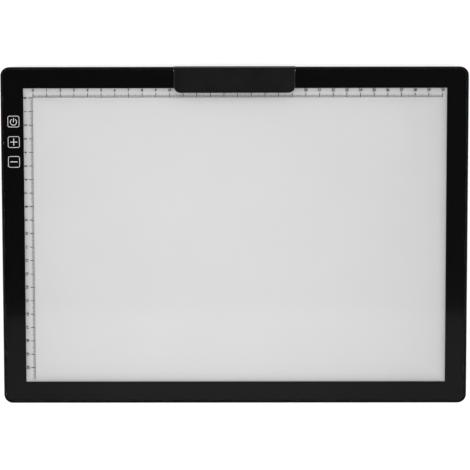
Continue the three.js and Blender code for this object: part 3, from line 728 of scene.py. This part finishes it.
bm = combine(frame_ring, ("UNION", bosses), ("UNION", webs), ("DIFFERENCE", boss_holes), ("DIFFERENCE", socket_window))
shell = weighted(to_object("frame_shell", bm, MAT["frame"], "pad", 32, ("bezel_frame",)))


# ------------------------------------------------------------------ back cover


def cover_slab(bm):
    g = WALL + 0.25
    loft(bm, [
        (pad_ring(g + 0.2), FOOT_H), (pad_ring(g + 0.06), FOOT_H + 0.06), (pad_ring(g), FOOT_H + 0.2),
        (pad_ring(g), COVER_TOP - 0.08), (pad_ring(g + 0.08), COVER_TOP),
    ])


def cover_ribs(bm):
    rx, ry = 158.5, 112.0
    block(bm, rx, rx + 1, -100, 100, COVER_TOP - 0.5, 6)
    block(bm, -rx - 1, -rx, -100, 38, COVER_TOP - 0.5, 6)
    block(bm, -150, 150, ry, ry + 1, COVER_TOP - 0.5, 6)
    for x, y in ((-163.5, 106), (-163.5, 62), (-166, 46)):
        lathe(bm, x, y, [(0, COVER_TOP - 0.5), (1.5, COVER_TOP - 0.5), (1.5, 3.99), (0, 3.99)], 32)


def cover_holes(bm):
    for _, x, y in SCREWS:
        lathe(bm, x, y, [(0, FOOT_H - 0.5), (2.06, FOOT_H - 0.5), (2.06, FOOT_H - 0.01), (1.98, FOOT_H + 0.05), (1.05, 2.95), (1.05, COVER_TOP + 0.5), (0, COVER_TOP + 0.5)], 48)


bm = combine(cover_slab, ("UNION", cover_ribs), ("DIFFERENCE", cover_holes))
weighted(to_object("cover_shell", bm, MAT["cover"], "pad", 32, ("back_cover",)))


# ---------------------------------------------------------------------- screws


def screw(name, x, y):
    def body(bm):
        prof = [(0, FOOT_H + 0.0625), (1.72, FOOT_H + 0.0625), (1.82, FOOT_H + 0.1), (1.84, FOOT_H + 0.16), (0.98, 2.98), (0.86, 3.15)]
        z = 3.3
        while z < 6.1:
            prof += [(0.94, z), (0.78, z + 0.17)]
            z += 0.36
        prof += [(0.86, 6.28), (0.5, 6.6), (0, 6.62)]
        lathe(bm, x, y, prof, 40)

    def half(turn):
        """One of the two tapered slots of the cross; the heads aren't all turned the same way."""
        def make(bm):
            rows = []
            for z, l, w in ((FOOT_H - 0.1, 1.12, 0.23), (FOOT_H + 0.35, 0.82, 0.17), (FOOT_H + 0.8, 0.35, 0.11)):
                row = []
                for a, b in ((l, -w), (l, w), (-l, w), (-l, -w)):
                    if turn:
                        a, b = -b, a
                    t = math.radians((abs(x) * 7.3 + y * 3.1) % 90)
                    row.append(bm.verts.new(((x + a * math.cos(t) - b * math.sin(t)) * MM, (y + Y0 + a * math.sin(t) + b * math.cos(t)) * MM, z * MM)))
                rows.append(row)
            for p, q in zip(rows, rows[1:]):
                for j in range(4):
                    bm.faces.new((p[j], p[(j + 1) % 4], q[(j + 1) % 4], q[j]))
            bm.faces.new(list(reversed(rows[0])))
            bm.faces.new(rows[-1])
        return make

    bm = combine(body, ("DIFFERENCE", half(0)), ("DIFFERENCE", half(1)))
    to_object(name.replace("cover_screw", "screw"), bm, MAT["screw"], "pad", 30, (name,))


for name, x, y in SCREWS:
    screw(name, x, y)


# ------------------------------------------------------------------------ feet

for name, x, y in FEET:
    bm = bmesh.new()
    prof = [(0, 0.14), (2.2, 0.12), (2.9, 0.06), (3.25, 0.0), (4.05, 0.0)]
    prof += [(4.05 + 0.55 * math.sin(math.radians(a)), 0.55 - 0.55 * math.cos(math.radians(a))) for a in (20, 40, 60, 78)]
    prof += [(4.85, 1.3), (4.97, 1.8), (5.0, 1.99), (0, 1.99)]
    lathe(bm, x, y, prof, 56)
    to_object(name.replace("foot_", "rubber_foot_"), bm, MAT["foot"], "pad", 40, (name,))


# ----------------------------------------------------- front sheet and its print

bm = bmesh.new()
g = WALL + 0.125
loft(bm, [
    (pad_ring(g + 0.06), SHEET_BOTTOM), (pad_ring(g), SHEET_BOTTOM + 0.06),
    (pad_ring(g), SHEET_TOP - 0.14), (pad_ring(g + 0.04), SHEET_TOP - 0.04), (pad_ring(g + 0.14), SHEET_TOP),
])
weighted(to_object("front_sheet_clear", bm, MAT["gloss"], "pad", 50, ("front_sheet",)))

bm = bmesh.new()
x0, x1, y0, y1 = WINDOW
outer = pad_ring(g + 0.05)
inner = rrect(x0, x1, y0, y1, 0.35)
loft(bm, [(outer, PRINT[0]), (outer, PRINT[1]), (inner, PRINT[1]), (inner, PRINT[0])], closed=True)
to_object("border_print", bm, MAT["print"], "pad", 30)


def stroke(bm, pts, width, z0, z1, closed=False, round_ends=True):
    """A printed line along pts (mm)."""
    n = len(pts)
    left, right = [], []
    for i, (x, y) in enumerate(pts):
        if closed:
            a, b = pts[i - 1], pts[(i + 1) % n]
        else:
            a, b = pts[max(i - 1, 0)], pts[min(i + 1, n - 1)]
        tx, ty = b[0] - a[0], b[1] - a[1]
        q = math.hypot(tx, ty)
        nx, ny = -ty / q, tx / q
        left.append((x + nx * width / 2, y + ny * width / 2))
        right.append((x - nx * width / 2, y - ny * width / 2))
    if closed:
        loft(bm, [(right, z0), (right, z1), (left, z1), (left, z0)], closed=True)
        return
    ring = list(right)
    if round_ends:
        a = math.atan2(pts[-1][1] - pts[-2][1], pts[-1][0] - pts[-2][0])
        ring += [(pts[-1][0] + width / 2 * math.cos(a + math.radians(t)), pts[-1][1] + width / 2 * math.sin(a + math.radians(t))) for t in range(-75, 76, 15)]
    ring += list(reversed(left))
    if round_ends:
        a = math.atan2(pts[0][1] - pts[1][1], pts[0][0] - pts[1][0])
        ring += [(pts[0][0] + width / 2 * math.cos(a + math.radians(t)), pts[0][1] + width / 2 * math.sin(a + math.radians(t))) for t in range(-75, 76, 15)]
    loft(bm, [(ring, z0), (ring, z1)])


LINE = 0.34
KEY_PRINT_X = KEY_X - 0.27
for kind, ky in (("power", KEY_Y[0] + 0.03), ("plus", KEY_Y[1] + 0.26), ("minus", KEY_Y[2] + 0.38)):
    bm = bmesh.new()
    kx = KEY_PRINT_X + (0.0 if kind == "power" else 0.06)
    hx, hy = 8.25 / 2, 8.0 / 2
    stroke(bm, rrect(kx - hx, kx + hx, ky - hy, ky + hy, 1.3, 8), LINE, *SYMBOL, closed=True)
    if kind == "power":
        stroke(bm, arc(kx, ky - 0.33, 2.3, 90 + 36, 90 + 324, 40), 0.41, *SYMBOL)
        stroke(bm, [(kx, ky - 0.3), (kx, ky + 2.35)], 0.45, *SYMBOL)
    elif kind == "plus":
        a, b = 2.55, 0.23
        ring = [(b, -a), (b, -b), (a, -b), (a, b), (b, b), (b, a), (-b, a), (-b, b), (-a, b), (-a, -b), (-b, -b), (-b, -a)]
        loft(bm, [([(kx + p, ky + q) for p, q in ring], SYMBOL[0]), ([(kx + p, ky + q) for p, q in ring], SYMBOL[1])])
    else:
        ring = rrect(kx - 2.62, kx + 2.62, ky - 0.27, ky + 0.27, 0.12, 2)
        loft(bm, [(ring, SYMBOL[0]), (ring, SYMBOL[1])])
    to_object("key_symbol_" + kind, bm, MAT["symbol"], "pad", 30)

# rulers: millimetre, half centimetre and centimetre marks, on the sheet's back, inside the opening
MM_LEN, HALF_LEN, CM_LEN = 1.95, 2.45, 3.4
THIN, CM_W = 0.225, 0.46
BASE_Y, BASE_X = 0.25, 0.34  # the thin line under the marks, out from the zero
BASE_W = 0.1


def rule(bm, along, count):
    for i in range(count + 1):
        cm, half = i % 10 == 0, i % 5 == 0
        length = CM_LEN if cm else HALF_LEN if half else MM_LEN
        w = CM_W if cm else THIN
        if along == "x":
            xx = RULER_X + i
            block(bm, xx - w / 2, xx + w / 2, RULER_Y + BASE_Y + BASE_W, RULER_Y + length, *PRINT)
        else:
            yy = RULER_Y - i
            block(bm, RULER_X - length, RULER_X - BASE_X - BASE_W, yy - w / 2, yy + w / 2, *PRINT)


bm = bmesh.new()
rule(bm, "x", 300)
block(bm, RULER_X - CM_W / 2 - 0.01, RULER_X + 300.0 + CM_W / 2 + 0.01, RULER_Y + BASE_Y, RULER_Y + BASE_Y + BASE_W, *PRINT)
to_object("ruler_marks_top", bm, MAT["ruler"], "pad", 30)

bm = bmesh.new()
rule(bm, "y", 208)
block(bm, RULER_X - BASE_X - BASE_W, RULER_X - BASE_X, RULER_Y - 208.12, RULER_Y + CM_W / 2 + 0.01, *PRINT)
to_object("ruler_marks_left", bm, MAT["ruler"], "pad", 30)


def numbers(name, items, size, turned=False):
    """items are (text, x, y): plain centimetre numbers, centred there."""
    bm = bmesh.new()
    for text, x, y in items:
        c = bpy.data.curves.new("digits", "FONT")
        c.body = text
        c.align_x = "CENTER"
        c.align_y = "CENTER"
        c.size = size * MM
        c.space_character = 0.95
        c.offset = (0.08 if len(text) == 1 and text != "0" else 0.05) * MM
        c.extrude = (PRINT[1] - PRINT[0]) / 2 * MM
        c.resolution_u = 3
        o = bpy.data.objects.new("digits", c)
        scene.collection.objects.link(o)
        o.matrix_world = Matrix.Translation((x * MM, (y + Y0) * MM, (PRINT[0] + PRINT[1]) / 2 * MM)) @ Matrix.Rotation(math.pi / 2 if turned else 0.0, 4, "Z")
        bpy.context.view_layer.update()
        me = bpy.data.meshes.new_from_object(o.evaluated_get(bpy.context.evaluated_depsgraph_get()))
        me.transform(o.matrix_world)
        bm.from_mesh(me)
        bpy.data.objects.remove(o)
        bpy.data.curves.remove(c)
        bpy.data.meshes.remove(me)
    to_object(name, bm, MAT["ruler"], "pad", 30)


NUM = 2.75
NUM_IN = 1.50  # middle of the numbers from the opening's edge

numbers("ruler_numbers_top", [(str(i), RULER_X + 10.0 * i + (0.3 if i == 30 else 0.0), y1 - NUM_IN) for i in range(31)], NUM)
numbers("ruler_numbers_left", [(str(i), x0 + NUM_IN, RULER_Y - 10.0 * i) for i in range(21)], NUM, turned=True)


# ---------------------------------------------------------------- power socket


def shell_ring(grow):
    """Trapezoid mouth: (y, z)."""
    y, z0, z1 = SOCKET_Y, 5.0, 7.4
    w, low = 3.75 + grow, 2.9 + grow
    pts = [(y - low, z0 - grow), (y + low, z0 - grow), (y + w, z0 + 0.95), (y + w, z1 + grow), (y - w, z1 + grow), (y - w, z0 + 0.95)]
    return pts


def socket_outer(bm):
    prism_x(bm, shell_ring(0.0), -171.25, -165.65)


def socket_inner(bm):
    prism_x(bm, shell_ring(-0.3), -172.25, -166.25)


bm = combine(socket_outer, ("DIFFERENCE", socket_inner))
soften(bm, 0.09, 25, 2)
to_object("socket_shell", bm, MAT["shell"], "pad", 40, ("power_socket",))

bm = bmesh.new()
block(bm, -170.45, -165.95, SOCKET_Y - 2.15, SOCKET_Y + 2.15, 6.15, 6.65)
soften(bm, 0.1, 30, 2)
to_object("socket_tongue", bm, MAT["tongue"], "pad", 40)
bm = bmesh.new()
for i in range(5):
    yy = SOCKET_Y + (i - 2) * 0.72
    block(bm, -170.2, -166.7, yy - 0.18, yy + 0.18, 6.09, 6.16)
soften(bm, 0.02, 30, 1)
to_object("socket_contacts", bm, MAT["contacts"], "pad", 40)


# ------------------------------------------------------------------------ clip


def bend_profile():
    """(y, z) round the bracket's section, with its two bends."""
    t, R = CLIP_SHEET, 1.0
    yo, z0, zt = CLIP_REAR, 1.0, FLANGE_Z0 + CLIP_SHEET
    out = [(112.5, z0)]
    out += arc(yo - R, z0 + R, R, -90, 0, 10)
    out += arc(yo - R, zt - R, R, 0, 90, 10)
    out += [(115.5, zt), (115.5, zt - t)]
    out += arc(yo - R, zt - R, R - t, 90, 0, 8)
    out += arc(yo - R, z0 + R, R - t, 0, -90, 8)
    out += [(112.5, z0 + t)]
    return out


def bracket_sheet(bm):
    prism_x(bm, bend_profile(), -CLIP_X, CLIP_X)


def bracket_trim(bm):
    """What stays: leaf with rounded free corners. Its walls stand just clear of the sheet's ends."""
    ring = rrect(-CLIP_X - 0.02, CLIP_X + 0.02, 112.48, 127.0, (3.0, 0.01, 0.01, 3.0), 10)
    loft(bm, [(ring, 0.0), (ring, 8.6), (rrect(-CLIP_X - 1, CLIP_X + 1, 112.4, 127.0, 0.01, 10), 8.6), (rrect(-CLIP_X - 1, CLIP_X + 1, 112.4, 127.0, 0.01, 10), 14.0)])


def flange_ends(bm):
    for k in (-1, 1):
        a, b = sorted((k * 42.0, k * (CLIP_X + 1)))
        block(bm, a, b, 114.5, 123.5, 8.66, 10.06)


def ears(bm):
    for x in EAR_X:
        pts = [(PIN_Y - EAR_R, 9.2), (PIN_Y + EAR_R, 9.2)] + arc(PIN_Y, PIN_Z, EAR_R, 0, 180, 20)
        prism_x(bm, pts, x - 1.5, x + 1.5)


def pin_bore(bm):
    lathe_x(bm, [(-CLIP_X - 2, PIN_R + 0.06), (CLIP_X + 2, PIN_R + 0.06)], PIN_Y, PIN_Z, 32)


bm = combine(bracket_sheet, ("INTERSECT", bracket_trim), ("DIFFERENCE", flange_ends), ("UNION", ears), ("DIFFERENCE", pin_bore))
soften(bm, 0.07, 50, 2)
weighted(to_object("bracket_sheet", bm, MAT["sheet_steel"], "clip_base", 35, ("clip_bracket",)))

for side, name in ((-1, "bracket_pad_left"), (1, "bracket_pad_right")):
    bm = bmesh.new()
    a, b = sorted((side * 22.0, side * 38.0))
    ring = lambda d: rrect(a + d, b - d, 114.0 + d, 121.0 - d, 0.8, 4)
    loft(bm, [(ring(0.05), 1.0 + CLIP_SHEET), (ring(0.0), 1.42), (ring(0.0), 1.82), (ring(0.12), 1.93)])
    to_object(name.replace("bracket_pad", "felt_pad"), bm, MAT["felt"], "clip_base", 60, (name,))

h = CLIP_X + PIN_OUT
bm = bmesh.new()
half_end = [(0.0, 0.0), (0.03, 0.18), (0.11, 0.33), (0.23, 0.45), (0.38, 0.54), (0.56, PIN_R)]
lathe_x(bm, [(-h + d, r) for d, r in half_end] + [(h - d, r) for d, r in reversed(half_end)], PIN_Y, PIN_Z, 32)
to_object("hinge_pin", bm, MAT["steel"], "clip_base", 40, ("clip_hinge_pin",))


def wire_along(name, pts, diameter, mat, body, replaces, sides=10):
    """Round wire through pts (mm), with turned-in ends, as one closed mesh."""
    P = [Vector((x * MM, (y + Y0) * MM, z * MM)) for x, y, z in pts]
    bm = bmesh.new()
    up = None
    rows = []
    r = diameter / 2 * MM
    for i, p in enumerate(P):
        t = (P[min(i + 1, len(P) - 1)] - P[max(i - 1, 0)]).normalized()
        if up is None:
            up = t.orthogonal().normalized()
        up = (up - t * up.dot(t)).normalized()
        side = t.cross(up)
        rows.append([bm.verts.new(p + (up * math.cos(2 * math.pi * k / sides) + side * math.sin(2 * math.pi * k / sides)) * r) for k in range(sides)])
    for a, b in zip(rows, rows[1:]):
        for k in range(sides):
            bm.faces.new((a[k], a[(k + 1) % sides], b[(k + 1) % sides], b[k]))
    bm.faces.new(list(reversed(rows[0])))
    bm.faces.new(rows[-1])
    return to_object(name, bm, mat, body, 50, replaces)


def catmull(pts, per=4):
    """Smooth curve through pts."""
    out = []
    n = len(pts)
    for i in range(n - 1):
        p0, p1, p2, p3 = (Vector(pts[max(i - 1, 0)]), Vector(pts[i]), Vector(pts[i + 1]), Vector(pts[min(i + 2, n - 1)]))
        for k in range(per):
            t = k / per
            out.append(tuple(0.5 * ((2 * p1) + (p2 - p0) * t + (2 * p0 - 5 * p1 + 4 * p2 - p3) * t * t + (3 * p1 - p0 - 3 * p2 + p3) * t ** 3)))
    out.append(tuple(pts[-1]))
    return out


for x, name in zip(SPRING_X, ("clip_spring_left", "clip_spring_right")):
    r, turns, pitch = 0.95, 6, 0.65
    length = turns * pitch
    z_leg = FLANGE_Z0 + CLIP_SHEET + 0.2 + 0.05
    pts = [(x - length / 2, PIN_Y - 6, z_leg), (x - length / 2, PIN_Y - 4, z_leg + 0.06), (x - length / 2, PIN_Y - 2, PIN_Z - r - 0.3), (x - length / 2, PIN_Y - 0.7, PIN_Z - r - 0.04)]
    n = turns * 10
    for i in range(n - 6):
        a = -math.pi / 2 + 2 * math.pi * i / 10
        pts.append((x - length / 2 + length * i / n, PIN_Y + r * math.cos(a), PIN_Z + r * math.sin(a)))
    last = pts[-1]
    pts += [(last[0], last[1] + 0.02, last[2] + 0.22), (last[0], last[1] + 0.02, last[2] + 0.44)]
    wire_along(name.replace("clip_spring", "torsion_spring"), catmull(pts, 2), 0.4, MAT["spring"], "clip_base", (name,))


# jaw: a shallow tray turned over, with a barrel along its back edge


def jaw_plan(inset, n=12):
    return rrect(-CLIP_X + inset, CLIP_X - inset, CLIP_FRONT + inset, JAW_REAR + 1.0 - inset, (CLIP_CORNER_R - inset, 0.7, 0.7, CLIP_CORNER_R - inset), n)


def jaw_body(bm):
    q = 0.45
    rings = [(jaw_plan(0.0), 6.25)]
    rings += [(jaw_plan(q - q * math.cos(math.radians(a))), JAW_TOP - q + q * math.sin(math.radians(a))) for a in (0, 18, 36, 54, 72, 90)]
    loft(bm, rings)


def jaw_side(bm):
    pts = [(CLIP_FRONT - 1, NOSE_Z), (CLIP_FRONT + 2.6, NOSE_Z), (CLIP_FRONT + 3.1, PIN_Z - BARREL_R)]
    # round below, so that it turns over the flange, and square above with a small rounding
    pts += arc(PIN_Y, PIN_Z, BARREL_R, -90, 0, 14)
    pts += [(JAW_REAR, PIN_Z + 0.5)]
    pts += arc(JAW_REAR - JAW_EDGE_R, JAW_TOP - JAW_EDGE_R, JAW_EDGE_R, 0, 90, 8)
    pts += [(CLIP_FRONT - 1, JAW_TOP)]
    prism_x(bm, pts, -CLIP_X - 1, CLIP_X + 1)


def jaw_hollow(bm):
    w = 1.6
    ring = rrect(-CLIP_X + w, CLIP_X - w, CLIP_FRONT + w + 0.4, PIN_Y - 2.4, (2.4, 0.5, 0.5, 2.4), 8)
    loft(bm, [(ring, 7.0), (ring, JAW_TOP - 1.5 - 0.25), (rrect(-CLIP_X + w + 0.25, CLIP_X - w - 0.25, CLIP_FRONT + w + 0.65, PIN_Y - 2.65, (2.15, 0.3, 0.3, 2.15), 8), JAW_TOP - 1.5)])


def ear_pockets(bm):
    """Round each eye, and the path that its foot takes while the jaw opens."""
    g = EAR_R + 0.15
    for x in EAR_X:
        # from straight down to 54 degrees towards the back, drawn round the pin
        t = math.radians(54)
        c, d = math.cos(t), math.sin(t)
        pts = [(PIN_Y - g, PIN_Z - 4.0), (PIN_Y + g, PIN_Z - 4.0)]
        pts += [(PIN_Y + g * c + 4.0 * d, PIN_Z + g * d - 4.0 * c), (PIN_Y + g * c, PIN_Z + g * d)]
        pts += arc(PIN_Y, PIN_Z, g, 54, 180, 22)[1:]
        prism_x(bm, pts, x - 1.75, x + 1.75)


def spring_pockets(bm):
    for x in SPRING_X:
        q = 6 * 0.65 / 2 + 0.6
        pts = [(PIN_Y - 3.6, PIN_Z - 4), (PIN_Y + 3, PIN_Z - 4), (PIN_Y + 3, PIN_Z + 0.05)]
        pts += arc(PIN_Y, PIN_Z, 1.42, 2, 178, 24)
        pts += [(PIN_Y - 3.6, PIN_Z + 0.05)]
        prism_x(bm, pts, x - q, x + q)


bm = combine(
    jaw_body, ("INTERSECT", jaw_side), ("DIFFERENCE", jaw_hollow), ("DIFFERENCE", pin_bore),
    ("DIFFERENCE", ear_pockets), ("DIFFERENCE", spring_pockets),
)
weighted(to_object("jaw_shell", bm, MAT["clip"], "clip_lever", 38, ("clip_jaw",)))

bm = bmesh.new()
lo_z, hi_z = SHEET_TOP + 0.0625, NOSE_Z - 0.005
prof = []
for i in range(23):
    c = -33.0 + 3.0 * i
    prof += [(c - 0.34, lo_z), (c - 0.26, lo_z + 0.1), (c - 0.1, lo_z + 0.135), (c + 0.1, lo_z + 0.135), (c + 0.26, lo_z + 0.1), (c + 0.34, lo_z)]
low = [(-36.0, lo_z + 0.12), (-35.88, lo_z)] + prof + [(35.88, lo_z), (36.0, lo_z + 0.12)]
ring = low + [(36.0, hi_z), (-36.0, hi_z)]
ya, yb = CLIP_FRONT + 0.5, CLIP_FRONT + 2.5
a = [bm.verts.new((x * MM, (ya + Y0) * MM, z * MM)) for x, z in ring]
b = [bm.verts.new((x * MM, (yb + Y0) * MM, z * MM)) for x, z in ring]
m = len(ring)
for j in range(m):
    bm.faces.new((a[j], a[(j + 1) % m], b[(j + 1) % m], b[j]))
bm.faces.new(list(reversed(a)))
bm.faces.new(b)
to_object("grip_strip", bm, MAT["grip"], "clip_lever", 50, ("jaw_grip_strip",))


# ------------------------------------------------ carried-over CAD pieces inside


def keep(node, mat, width=0.0):
    """A CAD node that stays: its own material, welded and with small rounded edges."""
    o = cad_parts[node]
    if not o.material_slots:
        o.data.materials.append(mat)
    for s in o.material_slots:
        s.material = mat
    w = o.modifiers.new("weld", "WELD")
    w.merge_threshold = 2e-7
    if width:
        d = o.modifiers.new("planes", "DECIMATE")
        d.decimate_type = "DISSOLVE"
        d.angle_limit = math.radians(1.0)
        b = o.modifiers.new("edges", "BEVEL")
        b.width = width * MM
        b.segments = 2
        b.limit_method = "ANGLE"
        b.angle_limit = math.radians(40)
        b.harden_normals = False
    return o


for n, mat, width in (
    ("diffuser_sheet", "diffuser", 0.05), ("light_guide_plate", "guide", 0.1), ("reflector_sheet", "reflector", 0.04),
    ("guide_foam_left", "foam", 0.1), ("guide_foam_right", "foam", 0.1), ("guide_foam_far", "foam", 0.1),
    ("sheet_tape_far", "tape", 0.03), ("sheet_tape_near", "tape", 0.03), ("sheet_tape_left", "tape", 0.03), ("sheet_tape_right", "tape", 0.03),
    ("led_strip", "led", 0.05), ("heat_spreader", "alu", 0.08), ("control_board", "board", 0.06),
    ("touch_chip", "chip", 0.0), ("driver_chip", "chip", 0.04), ("driver_inductor", "chip", 0.06), ("input_capacitor", "ceramic", 0.1),
    ("led_connector", "connector", 0.06), ("led_lead_red", "red", 0.0), ("led_lead_black", "black", 0.0),
    ("touch_spring_power", "touch_spring", 0.0), ("touch_spring_plus", "touch_spring", 0.0), ("touch_spring_minus", "touch_spring", 0.0),
):
    keep(n, MAT[mat], width)


# --------------------------------------------------------------- floor and light

me = bpy.data.meshes.new("floor")
me.from_pydata([(-9, -9, 0), (9, -9, 0), (9, 9, 0), (-9, 9, 0)], [], [(0, 1, 2, 3)])
floor = bpy.data.objects.new("floor", me)
scene.collection.objects.link(floor)
floor.location.z = -0.00002
m, nt = new_material("floor_pale")
at = add(nt, "TexCoord").outputs["Object"]
speck = span(nt, noise(nt, at, 0.4, 2.0, 0.5), 0.3, 0.7, 0.84, 0.87)
col = add(nt, "CombineXYZ", {"X": speck, "Y": speck, "Z": speck})
dif = add(nt, "BsdfDiffuse", {"Color": col.outputs[0]})
em = add(nt, "Emission", {"Color": (1, 1, 1, 1), "Strength": 0.46})
lit = add(nt, "AddShader", {0: dif.outputs[0], 1: em.outputs[0]})
tr = add(nt, "BsdfTransparent", {"Color": (1, 1, 1, 1)})
back = add(nt, "NewGeometry").outputs["Backfacing"]
finish_with(nt, add(nt, "MixShader", {0: back, 1: lit.outputs[0], 2: tr.outputs[0]}).outputs[0])
floor.data.materials.append(m)
floor.visible_shadow = False
floor.visible_diffuse = False
floor.visible_glossy = False

world = bpy.data.worlds.new("studio")
scene.world = world
world.use_nodes = True
nt = world.node_tree
nt.nodes.clear()
d = add(nt, "TexCoord").outputs["Generated"]
d = add(nt, "SeparateXYZ", {"Vector": d})
z = d.outputs["Z"]
up = add(nt, "MapRange", {"Value": z, "From Min": 0.2, "From Max": 0.92, "To Min": 1.2, "To Max": 0.06}, interpolation_type="SMOOTHSTEP").outputs["Result"]
up = calc(nt, "ADD", up, span(nt, d.outputs["X"], -0.11, 0.11, 0.006, 0.024))
col = add(nt, "CombineXYZ", {"X": up, "Y": up, "Z": up})
bg = add(nt, "Background", {"Color": col.outputs[0], "Strength": 1.0})
out = nt.nodes.new("ShaderNodeOutputWorld")
nt.links.new(bg.outputs[0], out.inputs["Surface"])


def softbox(name, at, target, w, h, radiance, shape="RECTANGLE", turn=0.0):
    """Area light of an even radiance, out of sight of the camera itself."""
    l = bpy.data.lights.new(name, "AREA")
    l.shape = shape
    l.size, l.size_y = w, h
    l.energy = radiance * math.pi * w * h * (math.pi / 4 if shape == "ELLIPSE" else 1.0)
    o = bpy.data.objects.new(name, l)
    scene.collection.objects.link(o)
    o.location = at
    o.rotation_mode = "QUATERNION"
    aim = (Vector(target) - Vector(at)).to_track_quat("-Z", "Y")
    o.rotation_quaternion = Matrix.Rotation(math.radians(turn), 3, "Z").to_quaternion() @ aim
    o.visible_camera = False
    return o


softbox("key_far", (0.0, 1.9, 2.3), (0, 0, 0), 2.4, 1.2, 2.4)
softbox("fill_left", (-2.2, -0.3, 1.7), (0, 0, 0), 1.4, 1.8, 3.1)
softbox("fill_right", (2.2, -0.3, 1.7), (0, 0, 0), 1.4, 1.8, 2.6)
softbox("fill_near", (0.0, -2.6, 1.7), (0, 0, 0), 2.8, 1.3, 3.8)
# dim panel overhead towards the near side: its edge shows in the gloss as a soft boundary
softbox("overhead", (0.0, -1.0451, 3.0), (0.0, -1.0451, 0.0), 4.16, 1.16, 0.245, "ELLIPSE", 0.45)
softbox("overhead_middle", (-0.039, -0.836, 2.99), (-0.039, -0.836, 0.0), 0.716, 0.734, 0.041)
softbox("overhead_core", (-0.061, -0.836, 2.98), (-0.061, -0.836, 0.0), 0.5065, 0.734, 0.041)


# ----------------------------------------------------------------------- camera

rx, ry, rz = (math.radians(v) for v in (5.955, -0.344, 0.065))
turn = Matrix.Rotation(rz, 3, "Z") @ Matrix.Rotation(ry, 3, "Y") @ Matrix.Rotation(rx, 3, "X")
back_turn = turn.transposed()
eye = back_turn @ (Vector((0.0, 0.0, 1.6)) - Vector((-0.148072, 0.100407, 0.0))) + Vector((-0.1477, 0.1017125, 0.0079))
cam_data = bpy.data.cameras.new("camera")
cam_data.sensor_width = 36.0
cam_data.lens = 167.215
cam = bpy.data.objects.new("camera", cam_data)
scene.collection.objects.link(cam)
cam.matrix_world = Matrix.Translation(eye) @ back_turn.to_4x4()
scene.camera = cam
